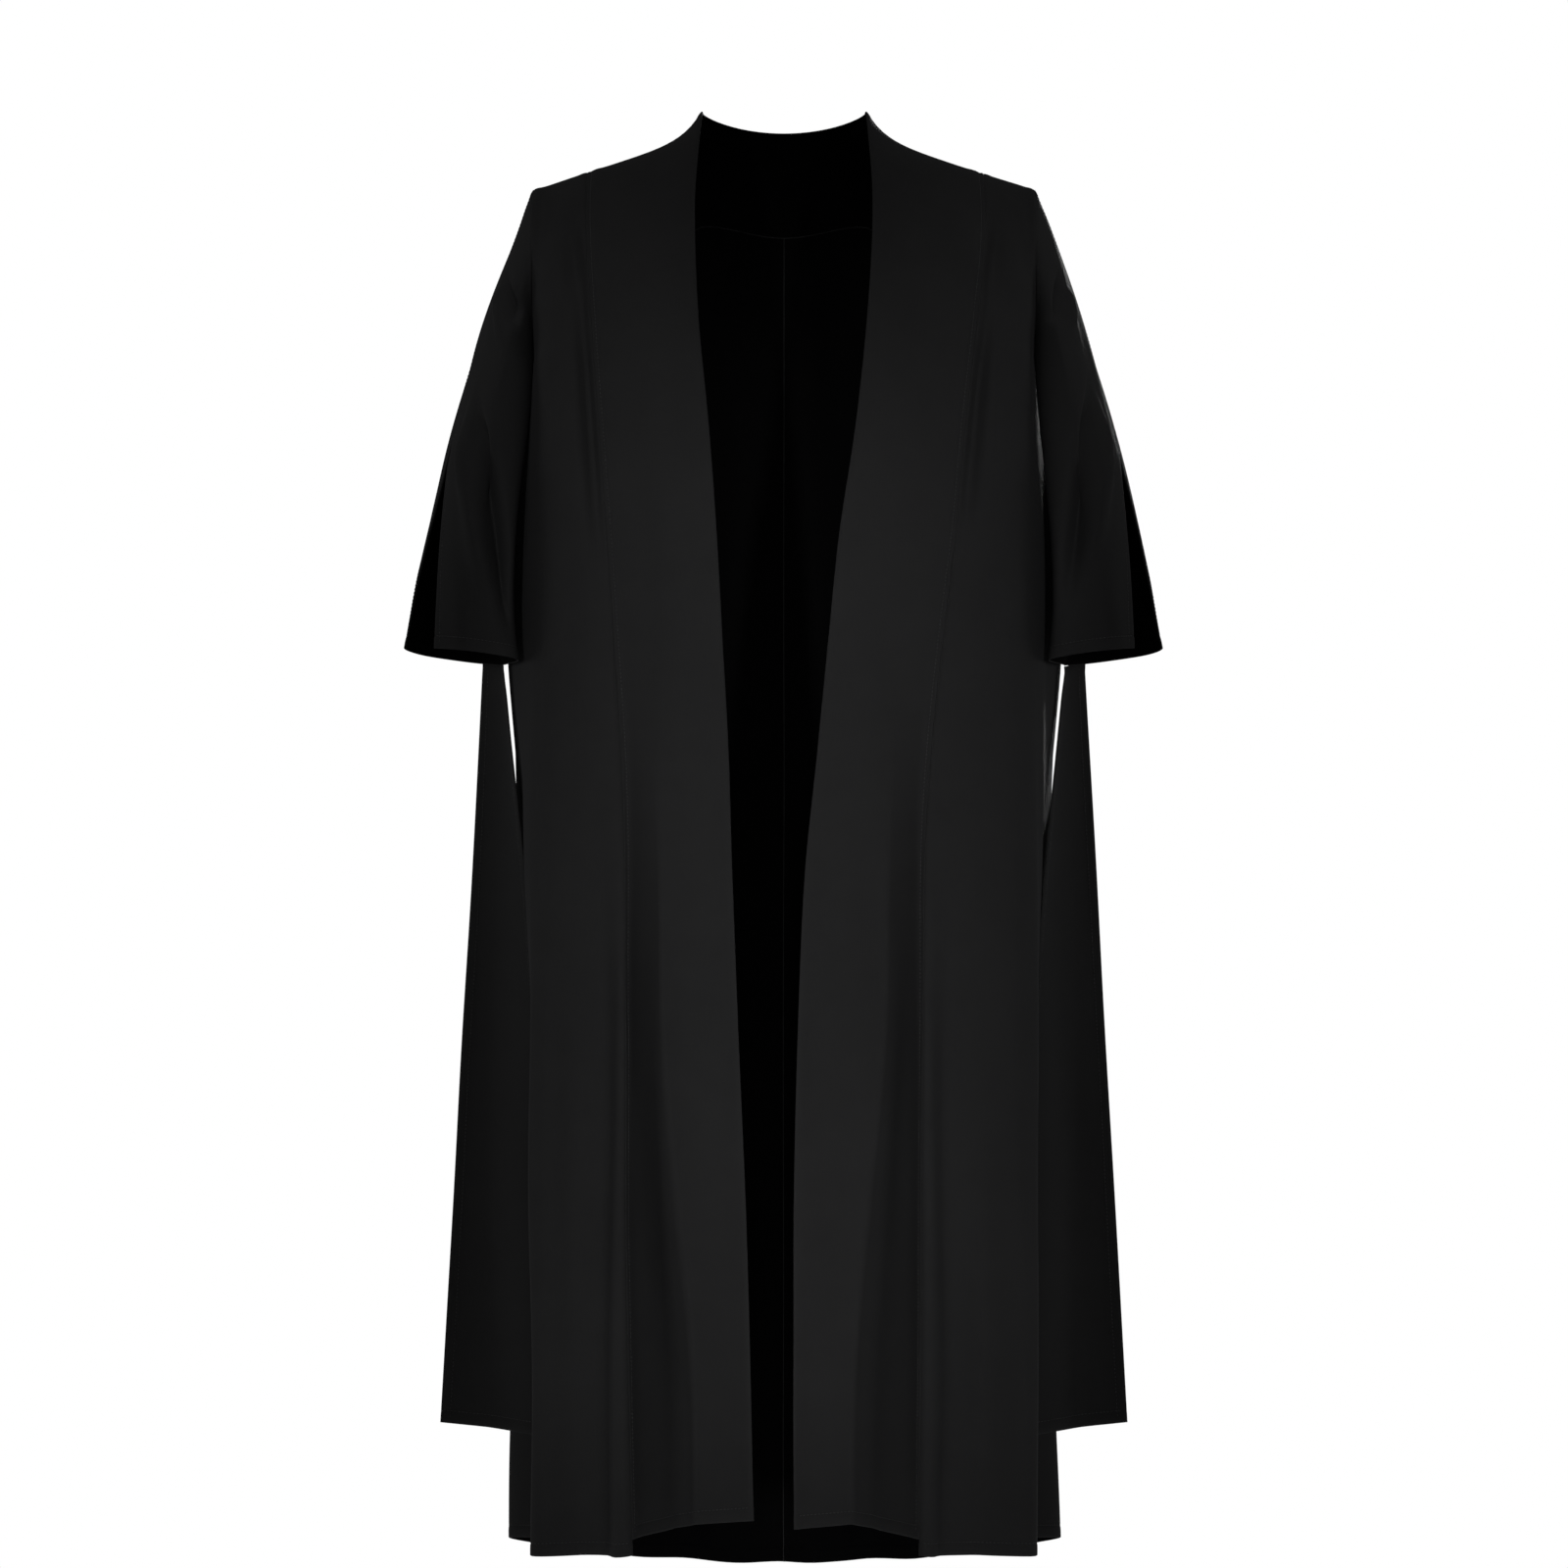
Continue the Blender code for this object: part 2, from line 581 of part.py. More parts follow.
def body(material, collection):
    """The two bands, the two front panels, and the back's yoke and two skirt halves."""
    back_rows, back_normals = back_surface()
    back_normals = turned_to(back_normals, np.array([0, 1, 0]))
    for side, flip, column in (("left", np.array, 0), ("right", mirrored, -1)):
        band, panel, normals = front_surface(side)
        normals = turned_to(normals, np.array([0, -1, 0]))
        kept_inside(normals, -1, 1)
        kept_inside(back_normals, column, 1 if side == "left" else -1)
        normals = flip(normals)
        share_seam(normals[:, -1], back_normals[:, column])
        seam = band.shape[1] - 1
        band = flip(pulled_in(band, right=HALF_GAP, top=HALF_GAP))
        panel = flip(pulled_in(panel, left=HALF_GAP, right=HALF_GAP, top=HALF_GAP))
        wall(f"front_band_{side}", band, normals[:, : seam + 1], material, collection)
        wall(f"front_panel_{side}", panel, normals[:, seam:], material, collection)
    back_rows = pulled_in(back_rows, left=HALF_GAP, right=HALF_GAP, top=HALF_GAP)
    yoke = slice(0, YOKE_ROW + 1)
    skirt = slice(YOKE_ROW, None)
    centre = sum(BACK_STEPS)
    rows = pulled_in(back_rows[yoke], bottom=HALF_GAP)
    wall("back_yoke", rows, back_normals[yoke], material, collection)
    for side, half in (("left", slice(0, centre + 1)), ("right", slice(centre, None))):
        gaps = {"right": HALF_GAP} if side == "left" else {"left": HALF_GAP}
        rows = pulled_in(back_rows[skirt, half], top=HALF_GAP, **gaps)
        wall(f"back_skirt_{side}", rows, back_normals[skirt, half], material, collection)


def sleeves(material, collection):
    front_rows, front_normals = sleeve_grid(slit_turn, math.pi, SLEEVE_ROWS)
    back_rows, back_normals = sleeve_grid(lambda share: 2 * math.pi, math.pi, SLEEVE_ROWS)
    hang_rows, hang_normals = hanging_grid()
    front_rows = pulled_in(front_rows, left=HALF_GAP, right=HALF_GAP)
    back_rows = pulled_in(back_rows, left=HALF_GAP, right=HALF_GAP)
    pieces = (
        ("sleeve_front", front_rows, front_normals),
        ("sleeve_back", back_rows, back_normals),
        ("hanging_panel", hang_rows, hang_normals),
    )
    for name, rows, normals in pieces:
        for side, flip in (("right", mirrored), ("left", np.array)):
            wall(f"{name}_{side}", flip(rows), flip(normals), material, collection)


def main():
    for old in list(bpy.data.objects):
        bpy.data.objects.remove(old, do_unlink=True)
    collection = bpy.data.collections.new("usher_gown")
    bpy.context.scene.collection.children.link(collection)
    material = cloth_material()
    body(material, collection)
    sleeves(material, collection)


main()
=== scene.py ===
"""Usher gown, dressed: thin cloth with creases, turned hems and stitches, on the form of the solids.

Metres, +Z up, the front faces -Y, and +X is the wearer's left. Each cloth piece follows the same named
sizes as its solid, read at finer steps, and then takes its seams, hems and creases. Fronts and sleeves
of the right side are made on the positive side and mirrored.
"""

import math
from typing import NamedTuple

import bpy
import numpy as np
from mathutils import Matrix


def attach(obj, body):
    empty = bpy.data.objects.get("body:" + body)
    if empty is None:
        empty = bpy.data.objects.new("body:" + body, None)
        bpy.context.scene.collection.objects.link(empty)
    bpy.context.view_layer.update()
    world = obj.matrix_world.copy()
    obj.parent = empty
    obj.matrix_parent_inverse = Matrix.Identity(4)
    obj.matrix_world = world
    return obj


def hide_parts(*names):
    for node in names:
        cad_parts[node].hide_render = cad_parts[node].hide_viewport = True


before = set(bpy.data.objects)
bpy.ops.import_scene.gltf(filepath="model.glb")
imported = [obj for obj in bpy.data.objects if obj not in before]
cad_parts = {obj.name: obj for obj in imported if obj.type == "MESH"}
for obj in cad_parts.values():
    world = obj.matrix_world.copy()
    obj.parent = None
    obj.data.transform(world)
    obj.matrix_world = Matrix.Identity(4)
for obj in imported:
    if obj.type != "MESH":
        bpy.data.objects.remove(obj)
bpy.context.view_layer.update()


def table(columns, *rows):
    """Rows of a table, each a dictionary from the columns' names."""
    return tuple(dict(zip(columns.split(), row)) for row in rows)


# A length too small to divide by
TINY = 1e-12

# Cloth and seams
CLOTH = 0.0012
BAND_CLOTH = 0.0018
SEAM_GAP = 0.0003
# How far the rounded edges of two sewn pieces press into each other
PRESSED = 0.00012
ALL_EDGES = ("left", "right", "top", "bottom")

# Shoulder line: a straight slope, with a short rise beside the neck
NECK_HALF_WIDTH = 0.0766
SHOULDER_HALF_WIDTH = 0.2325
SHOULDER_SLOPE = 0.318
NECK_RISE = 0.0235
NECK_RISE_REACH = 0.0155
NECK_DEPTH = 0.085
NECK_DROP = 0.010
# Height below which the middle of the back grows to its full depth
NAPE_ROOF = 0.030
# How far below the shoulder line each guide reaches its full depth
ROUNDING = {
    "edge": 0.20, "dip": 0.20, "seam": 0.17, "middle": 0.15, "corner": 0.12,
    "flank": 0.11, "skirt": 0.13, "blade": 0.18, "neck": 0.20, "back": 0.20,
}

# Armhole: an upright oval
UNDERARM_HEIGHT = -0.235
ARMHOLE_HALF_DEPTH = 0.075

# Shares of the way down from the shoulder line to the skirt height, at the yoke seam and the underarm
SKIRT_HEIGHT = -1.22
YOKE_SHARE = 0.078
UNDERARM_SHARE = 0.1412
# Row spacing: shares where it changes, and the number of rows between each two
ROW_BREAKS = (0, 0.004, 0.030, YOKE_SHARE, 0.121, 0.134, UNDERARM_SHARE, 0.18, 1.0)
ROW_COUNTS = (3, 6, 8, 7, 4, 3, 5, 112)
# Below the skirt height: even rows down to a place above the hem, and then closer ones down to the hem
SKIRT_ROWS = 11
SKIRT_ROWS_END = 0.024
ABOVE_HEM = (0.018, 0.014, 0.0125, 0.011, 0.0095, 0.006, 0.002, 0.0)

# Distance of each guide from the middle plane, for the wearer's right and left front edges
FRONT_WIDTHS = {
    "height":     (0.00, -0.10, -0.20, -0.30, -0.40, -0.50, -0.60, -0.70, -0.85, -1.00, -1.15, -1.32),
    "edge_right": (.0766, .0810, .0775, .0680, .0608, .0554, .0500, .0470, .0415, .0350, .0304, .0270),
    "edge_left":  (.0766, .0810, .0753, .0648, .0497, .0395, .0297, .0195, .0124, .0088, .0093, .0097),
    "dip_right":  (.1220, .1300, .1280, .1210, .1150, .1120, .1160, .1135, .1100, .0970, .0830, .0810),
    "dip_left":   (.1220, .1310, .1270, .1180, .1070, .0990, .0980, .0940, .0910, .0780, .0640, .0610),
    "seam_right": (.1806, .1820, .1760, .1683, .1608, .1539, .1473, .1435, .1430, .1430, .1405, .1360),
    "seam_left":  (.1806, .1847, .1764, .1652, .1557, .1432, .1329, .1267, .1250, .1245, .1243, .1210),
    "corner":     (.2195, .2215, .2245, .2245, .2245, .2260, .2280, .2290, .2290, .2300, .2290, .2270),
}
# How far each guide stands in front of the shoulder line
FRONT_DEPTHS = {
    "height": (0.00, -0.10, -0.20, -0.30, -0.40, -0.50, -0.60, -0.70, -0.85, -1.00, -1.15, -1.32),
    "edge":   (0.118, 0.120, 0.122, 0.124, 0.126, 0.128, 0.130, 0.131, 0.133, 0.135, 0.137, 0.139),
    "dip":    (0.120, 0.122, 0.125, 0.128, 0.130, 0.132, 0.134, 0.135, 0.134, 0.132, 0.131, 0.130),
    "seam":   (0.112, 0.115, 0.120, 0.126, 0.131, 0.136, 0.142, 0.151, 0.165, 0.178, 0.188, 0.196),
    "middle": (0.100, 0.106, 0.112, 0.120, 0.126, 0.130, 0.136, 0.141, 0.146, 0.150, 0.153, 0.156),
    "corner": (0.080, 0.085, 0.092, 0.100, 0.105, 0.109, 0.115, 0.121, 0.130, 0.138, 0.144, 0.148),
}
# Plan places of the side seam, which sinks into a valley below the waist, and of the back's guides
BACK_SECTIONS = {
    "height":  (0.00, -0.10, -0.235, -0.30, -0.40, -0.50, -0.60, -0.70, -0.85, -1.00, -1.15, -1.34),
    "side_x":  (.2325, .2325, .2325, .2410, .2545, .2560, .2460, .2360, .2180, .2020, .1900, .1830),
    "side_y":  (.0000, .0000, .0000, .0020, .0040, .0040, .0000, .0000, .0000, .0020, .0040, .0060),
    "flank_x": (.2220, .2240, .2290, .2395, .2535, .2575, .2520, .2430, .2260, .2110, .2010, .1950),
    "flank_y": (.0820, .0860, .0820, .0620, .0500, .0450, .0460, .0500, .0560, .0600, .0640, .0680),
    "skirt_x": (.2000, .2050, .2140, .2220, .2330, .2430, .2470, .2500, .2530, .2560, .2580, .2620),
    "skirt_y": (.1000, .1060, .1070, .1030, .1000, .1000, .1040, .1080, .1130, .1170, .1210, .1250),
    "blade_x": (.1450, .1500, .1600, .1650, .1720, .1800, .1860, .1900, .1950, .2000, .2040, .2080),
    "blade_y": (.1220, .1280, .1350, .1360, .1380, .1400, .1450, .1500, .1580, .1660, .1740, .1820),
    "neck_x":  (.0766, .0800, .0840, .0860, .0880, .0900, .0920, .0940, .0970, .1000, .1030, .1060),
    "neck_y":  (.1340, .1390, .1450, .1470, .1490, .1510, .1560, .1610, .1700, .1790, .1880, .1970),
    "back_y":  (.1380, .1420, .1480, .1500, .1520, .1540, .1590, .1640, .1730, .1820, .1920, .2020),
}
# Height of the hem on each guide
HEMS = {
    "edge_right": -1.292, "edge_left": -1.300, "dip": -1.298, "band_seam": -1.301,
    "panel_seam": -1.315, "middle": -1.320, "corner": -1.322, "side": -1.332,
    "flank": -1.338, "skirt": -1.344, "blade": -1.362, "neck": -1.376, "back": -1.380,
}

# Long folds that hang on the back, by their distance from the middle plane at their top and hem
BACK_FOLDS = table(
    "x_top x_hem top width depth",
    (-0.150, -0.176, -0.24, 0.026, 0.018),
    (-0.082, -0.098, -0.15, 0.030, 0.022),
    (-0.012, -0.006, -0.28, 0.024, 0.015),
    (0.066, 0.083, -0.16, 0.029, 0.023),
    (0.140, 0.168, -0.26, 0.025, 0.017),
)

# Elbow hem of a sleeve, seen from above: eight places round the arm, from the outer edge forwards
ELBOW_HEM = table(
    "place x y z",
    ("outer edge", 0.354, 0.020, -0.499),
    ("front outer", 0.322, -0.070, -0.501),
    ("front", 0.280, -0.098, -0.505),
    ("front inner", 0.242, -0.092, -0.512),
    ("inner", 0.259, -0.020, -0.515),
    ("back inner", 0.268, 0.050, -0.514),
    ("back", 0.302, 0.088, -0.510),
    ("back outer", 0.342, 0.072, -0.504),
)
# The slit: the share of the sleeve's length at which it starts, and how far forward it opens at the hem
SLIT_START = 0.56
SLIT_TURN = math.radians(47)
# Direction in which the sleeve leaves the armhole, as shares of its length, at the same eight turns
SLEEVE_LEAVES = table(
    "place outward forward down",
    ("outer edge", 0.42, 0.00, 1.00),
    ("front outer", 0.38, 0.08, 0.92),
    ("front", 0.32, 0.16, 0.85),
    ("front inner", -0.03, 0.12, 0.68),
    ("inner", 0.28, 0.00, 0.45),
    ("back inner", 0.38, -0.06, 0.65),
    ("back", 0.46, -0.12, 0.85),
    ("back outer", 0.44, -0.06, 0.92),
)
# Direction in which it arrives at the elbow hem, at its outer edge
SLEEVE_ENDS = {"outward": 0.19, "down": 1.0}

# Hanging panel: the turns of the elbow hem that it falls from, and its own hem
HANG_FROM = math.radians(188)
HANG_TO = math.radians(249)
HANG_HEM = table(
    "x y z",
    (0.192, 0.006, -1.236),
    (0.232, 0.022, -1.234),
    (0.278, 0.050, -1.230),
    (0.323, 0.058, -1.226),
)

# Columns of each piece, as places between its guides, closer together beside seams and edges
BAND_PLACES = (
    0, 0.02, 0.05, 0.10, 0.20, 0.32, 0.44, 0.56, 0.68, 0.78, 0.86, 0.93, 1.00, 1.07, 1.15, 1.25, 1.36, 1.48,
    1.60, 1.70, 1.79, 1.86, 1.905, 1.93, 1.955, 1.98, 2.0,
)
PANEL_PLACES = (
    0, 0.03, 0.07, 0.11, 0.17, 0.26, 0.38, 0.50, 0.62, 0.74, 0.87, 1.0, 1.13, 1.26, 1.39, 1.52, 1.65,
    1.77, 1.88, 2.0, 2.07, 2.14, 2.21, 2.28, 2.35, 2.42, 2.50, 2.58, 2.66, 2.74, 2.82, 2.89, 2.94,
    2.97, 2.985, 3.0,
)
HALF_BACK_PLACES = (
    0, 0.02, 0.05, 0.10, 0.18, 0.28, 0.38, 0.49, 0.60, 0.71, 0.81, 0.91, 1.0, 1.12, 1.24, 1.36, 1.49,
    1.62, 1.75, 1.88, 2.0, 2.11, 2.22, 2.33, 2.44, 2.55, 2.66, 2.77, 2.88, 3.0, 3.08, 3.16, 3.24,
    3.32, 3.40, 3.48, 3.56, 3.64, 3.72, 3.80, 3.87, 3.94, 4.0, 4.08, 4.16, 4.24, 4.32, 4.40, 4.48,
    4.56, 4.64, 4.72, 4.80, 4.88, 4.94, 4.97, 4.985, 5.0,
)
# Places on half the back: where the long folds begin, the side of the neck, and the centre
FOLDS_PLACE = 2
NECK_PLACE = 4
CENTRE_PLACE = 5
# Shares of a sleeve's length and width, and of a hanging panel's, closer together at their ends
SLEEVE_DOWN = np.concatenate([
    np.linspace(0, 0.06, 9)[:-1], np.linspace(0.06, 0.94, 92)[:-1],
    1 - np.array([0.060, 0.052, 0.044, 0.036, 0.032, 0.029, 0.026, 0.022, 0.015, 0.007, 0.0]),
])
SLEEVE_ACROSS = np.concatenate([
    [0, 0.012, 0.026, 0.04, 0.055, 0.07], np.linspace(0.09, 0.97, 66), [0.985, 1.0],
])
HANG_DOWN = np.append(np.linspace(0, 0.965, 96), [0.975, 0.981, 0.985, 0.989, 0.994, 1.0])
HANG_ACROSS = np.concatenate([[0, 0.03, 0.07, 0.11], np.linspace(0.16, 0.84, 14), [0.89, 0.93, 0.97, 1.0]])
HANG_TURNS = HANG_FROM + (HANG_TO - HANG_FROM) * HANG_ACROSS
# The column at which a hanging panel's cloth is made to face the way that the sleeve's does
HANG_FACING = 5


class Crease(NamedTuple):
    """A soft ridge, or a trough where its depth is below zero.

    Its path is given in (distance from the middle plane, height), seen from the front or back, or in
    (distance behind the shoulder line, height), seen from the side. Rise and fall are the shares of its
    length over which it grows from nothing and dies away again.
    """

    path: tuple
    width: float
    depth: float
    rise: float
    fall: float


def creases(*rows):
    """Creases from rows: the points of each path, and then its width, depth, rise and fall."""
    return tuple(Crease(row[:-4], *row[-4:]) for row in rows)


FRONT_CREASES = {
    "right": creases(
        ((.197, -.09), (.193, -.16), (.187, -.23), .012, -.0120, .4, .6),
        ((.187, -.14), (.178, -.28), (.163, -.47), .0060, -.0100, .2, .4),
        ((.196, -.20), (.193, -.32), (.186, -.43), .014, .0022, .5, .5),
        ((.172, -.56), (.165, -.86), (.162, -1.33), .014, -.0085, .5, 0),
        ((.205, -.58), (.203, -.95), (.196, -1.33), .022, .0040, .5, 0),
        ((.150, -.22), (.133, -.38), (.112, -.52), .016, .0018, .5, .5),
        ((.086, -.55), (.080, -.78), (.070, -1.02), .018, .0022, .5, .5),
        ((.118, -.68), (.108, -.95), (.092, -1.31), .010, -.0030, .5, 0),
        ((.148, -.74), (.148, -1.00), (.141, -1.33), .009, .0040, .5, 0),
        ((.222, -.26), (.214, -.36), (.199, -.45), .010, -.0018, .5, .5),
    ),
    "left": creases(
        ((.199, -.08), (.194, -.15), (.188, -.24), .012, -.0115, .4, .6),
        ((.189, -.13), (.176, -.27), (.156, -.45), .0060, -.0095, .2, .4),
        ((.197, -.22), (.192, -.34), (.180, -.47), .013, .0024, .5, .5),
        ((.158, -.58), (.148, -.90), (.146, -1.33), .014, -.0085, .5, 0),
        ((.196, -.66), (.192, -1.00), (.188, -1.33), .024, .0038, .5, 0),
        ((.146, -.25), (.126, -.40), (.103, -.55), .017, .0018, .5, .5),
        ((.060, -.60), (.052, -.84), (.046, -1.08), .018, .0024, .5, .5),
        ((.102, -.70), (.090, -.98), (.073, -1.31), .010, -.0030, .5, 0),
        ((.131, -.76), (.129, -1.00), (.126, -1.33), .009, .0040, .5, 0),
        ((.221, -.28), (.212, -.38), (.196, -.49), .010, -.0020, .5, .5),
    ),
}
# The walls of the skirt's sides, between the front corner and the side seam, the same on both sides
SIDE_CREASES = creases(
    ((-.050, -.30), (-.044, -.42), (-.052, -.56), .013, -.0026, .5, .5),
    ((-.070, -.50), (-.074, -.80), (-.082, -1.20), .020, .0030, .5, .4),
    ((-.040, -.72), (-.046, -1.00), (-.054, -1.33), .016, -.0034, .5, 0),
    ((-.100, -.84), (-.108, -1.08), (-.112, -1.33), .015, -.0028, .6, 0),
)
BACK_CREASES = creases(
    ((-.205, -.17), (-.200, -.24), (-.196, -.33), .010, -.0026, .1, .6),
    ((-.176, -.16), (-.178, -.28), (-.186, -.46), .013, .0028, .1, .6),
    ((-.128, -.14), (-.133, -.30), (-.140, -.62), .014, -.0036, .1, .5),
    ((-.106, -.13), (-.108, -.20), (-.110, -.29), .008, .0024, .1, .6),
    ((-.062, -.12), (-.060, -.19), (-.055, -.31), .009, -.0028, .1, .6),
    ((-.046, -.11), (-.048, -.40), (-.052, -.90), .015, -.0040, .1, .4),
    ((-.020, -.11), (-.018, -.17), (-.014, -.25), .008, .0022, .1, .6),
    ((.022, -.11), (.026, -.30), (.034, -.74), .014, -.0036, .1, .5),
    ((.044, -.11), (.046, -.19), (.050, -.30), .009, .0026, .1, .6),
    ((.088, -.12), (.090, -.18), (.094, -.26), .008, -.0024, .1, .6),
    ((.104, -.13), (.110, -.34), (.120, -.70), .014, -.0038, .1, .5),
    ((.122, -.14), (.124, -.21), (.130, -.34), .010, .0025, .1, .6),
    ((.168, -.15), (.174, -.26), (.180, -.40), .012, -.0030, .1, .6),
    ((.196, -.17), (.194, -.27), (.190, -.41), .012, .0024, .1, .6),
    ((-.205, -.60), (-.212, -.90), (-.222, -1.35), .020, -.0042, .5, 0),
    ((-.136, -.70), (-.140, -1.00), (-.146, -1.37), .017, -.0040, .5, 0),
    ((.038, -.80), (.040, -1.06), (.044, -1.38), .018, .0036, .5, 0),
    ((.122, -.76), (.126, -1.02), (.130, -1.37), .016, -.0040, .5, 0),
    ((.208, -.56), (.216, -.88), (.226, -1.35), .021, -.0044, .5, 0),
)
# The wall between the side seam and the back's outline, for the left side and the right
FLANK_CREASES = creases(
    ((.040, -.30), (.036, -.44), (.030, -.60), .014, -.0024, .5, .5),
    ((.062, -.52), (.070, -.80), (.078, -1.10), .018, .0028, .5, .5),
    ((.036, -.80), (.040, -1.02), (.046, -1.33), .015, -.0030, .5, 0),
)
SLEEVE_CREASES = {
    "right": {
        "front": creases(
            ((.2815, -.255), (.279, -.305), (.271, -.355), (.262, -.405), (.254, -.455),
             (.247, -.510), .0085, -.0165, .30, .35),
            ((.298, -.260), (.294, -.315), (.287, -.365), (.278, -.415), (.270, -.465),
             .011, .0080, .35, .35),
            ((.262, -.150), (.253, -.185), (.244, -.212), .0055, -.0100, .35, .30),
            ((.269, -.165), (.259, -.195), (.254, -.235), .0060, .0055, .35, .40),
            ((.250, -.172), (.243, -.190), (.238, -.196), .0045, -.0075, .30, .30),
            ((.276, -.150), (.266, -.200), (.258, -.250), .011, .0022, .5, .5),
            ((.300, -.42), (.296, -.46), (.294, -.50), .012, .0022, .5, 0),
        ),
        "side": creases(
            ((.012, -.16), (.004, -.28), (-.006, -.42), .016, -.0026, .5, .5),
            ((.040, -.20), (.046, -.33), (.040, -.49), .017, .0034, .5, .2),
        ),
        "back": creases(
            ((.256, -.170), (.262, -.240), (.276, -.300), .010, -.0034, .3, .5),
            ((.284, -.24), (.286, -.36), (.296, -.50), .014, -.0038, .5, .1),
            ((.306, -.30), (.316, -.40), (.322, -.50), .013, .0030, .5, .1),
        ),
    },
    "left": {
        "front": creases(
            ((.286, -.240), (.281, -.300), (.272, -.360), (.263, -.420), (.256, -.480),
             .0090, -.0150, .30, .35),
            ((.303, -.250), (.297, -.310), (.288, -.370), (.279, -.430), .012, .0075, .35, .35),
            ((.263, -.145), (.254, -.180), (.245, -.208), .0058, -.0095, .35, .30),
            ((.271, -.158), (.262, -.190), (.257, -.228), .0065, .0052, .35, .40),
            ((.278, -.160), (.268, -.210), (.262, -.262), .011, .0020, .5, .5),
            ((.296, -.40), (.300, -.45), (.303, -.50), .012, .0022, .5, 0),
        ),
        "side": creases(
            ((.016, -.15), (.010, -.27), (.004, -.40), .016, -.0028, .5, .5),
            ((.044, -.22), (.048, -.35), (.044, -.49), .017, .0032, .5, .2),
        ),
        "back": creases(
            ((.258, -.175), (.264, -.235), (.272, -.290), .010, -.0032, .3, .5),
            ((.282, -.26), (.288, -.37), (.292, -.50), .014, -.0036, .5, .1),
            ((.310, -.28), (.314, -.39), (.324, -.50), .013, .0028, .5, .1),
        ),
    },
}
HANGING_CREASES = {
    "right": creases(
        ((.318, -.56), (.312, -.85), (.302, -1.22), .016, .0045, .3, 0),
        ((.296, -.54), (.288, -.90), (.276, -1.22), .013, -.0042, .3, 0),
        ((.276, -.60), (.262, -.86), (.246, -1.10), .014, .0038, .5, .5),
        ((.262, -.70), (.240, -1.00), (.222, -1.23), .015, -.0036, .5, 0),
    ),
    "left": creases(
        ((.316, -.58), (.310, -.88), (.298, -1.22), .016, .0042, .3, 0),
        ((.292, -.55), (.284, -.86), (.270, -1.16), .013, -.0040, .3, .4),
        ((.272, -.66), (.256, -.95), (.240, -1.23), .015, .0038, .5, 0),
        ((.252, -.75), (.232, -1.02), (.216, -1.23), .014, -.0034, .5, 0),
    ),
}
# The bend down the lower part of each band: where it starts, over what height it grows, how much further
# back than the solid it lies, and how flat the runs on its two sides are
BEND_TOP = -0.47
BEND_REACH = 0.30
BEND_DEEPER = 0.013
BEND_SHARE = 0.85

# Creases and waves start at a first distance from an armhole, and grow over a second one
ARMHOLE_HELD = 0.002
ARMHOLE_STILL = 0.014
# How far a sleeve's top edge is tucked inside the armhole, from below the shoulder to the underarm. It
# starts where the cosine of the turn round the armhole is TUCK_START, and grows while that falls further
TUCK = 0.0021
TUCK_START = 0.96
TUCK_GROWTH = 0.5

# Soft unevenness of hanging cloth: long waves whose crests lean a little from upright
WAVES = table(
    "length lean drift depth start",
    (0.083, 0.16, 0.9, 0.0009, 0.4),
    (0.131, -0.22, 1.7, 0.0011, 2.1),
    (0.057, 0.07, 2.6, 0.0005, 4.4),
    (0.212, 0.55, 0.6, 0.0012, 1.3),
)
# Waves follow each other across the gown and, more slowly, from its front to its back. Their depth
# swells by this share and falls again on the way down, and they grow from just below the shoulders
WAVE_BACKWARDS = 0.7
SWELL = 0.4
WAVES_TOP = -0.03
WAVES_GROWTH = 0.12
# Steps between two points of a crease's path, and how squarely the cloth under it faces the viewer
CREASE_STEPS = 8
FACING = 0.3
# Ways to look at a crease's path: the two axes of its points, and where the viewer stands
VIEWS = {
    "front": ((0, 2), (0.0, -1.0, 0.0)),
    "back": ((0, 2), (0.0, 1.0, 0.0)),
    "side": ((1, 2), (1.0, 0.0, 0.0)),
    "right side": ((1, 2), (-1.0, 0.0, 0.0)),
}

# How far in from its edge the cloth of a hem or slit is turned, how softly that ends, how much thicker
# it makes the cloth, and how far it stands out
TURNED = {"hem": 0.0125, "slit": 0.0105}
TURNED_END = 0.002
TURNED_THICKER = 0.0006
TURNED_RISE = 0.0003
# How far in from its edge the line of stitches runs, for each kind of edge that has one
STITCHED = {"topstitched": 0.0036, "hem": 0.011, "slit": 0.0085}
# Rises and dents beside each kind of edge: the height of each, how far in it lies, and its reach
EDGE_BUMPS = {
    "seam": ((0.0005, 0.0045, 0.0035), (-0.0004, 0, 0.0014)),
    "topstitched": ((0.0006, 0.0085, 0.005), (-0.0005, STITCHED["topstitched"], 0.0014)),
    "hem": ((-0.0005, STITCHED["hem"], 0.0012),),
    "slit": ((-0.0004, STITCHED["slit"], 0.0012),),
}
# The places round a piece's rounded rim, as turns from its outer face to its inner one
RIM_TURNS = (math.pi / 4, math.pi / 2, 3 * math.pi / 4)
# How far in from a free edge the cloth is drawn paler, partly as wear and partly as a painted highlight
EDGE_WEAR_AND_HIGHLIGHT_REACH = 0.0025
# Points are drawn back from an edge over this length, or this share of a short row
DRAWN_LENGTH = 0.010
DRAWN_SHARE = 0.4

# Stitches: short tubes of thread, that start and end at a margin from the ends of their line. Each ring
# of a tube has its place along the stitch, its size, and how far its centre is raised, in thread radii
STITCH_LENGTH = 0.0026
STITCH_PITCH = 0.0036
STITCH_RADIUS = 0.0003
STITCH_MARGIN = 0.004
STITCH_SIDES = 6
STITCH_RINGS = ((0.0, 0.25, -0.7), (0.22, 1.0, 0.25), (0.78, 1.0, 0.25), (1.0, 0.25, -0.7))

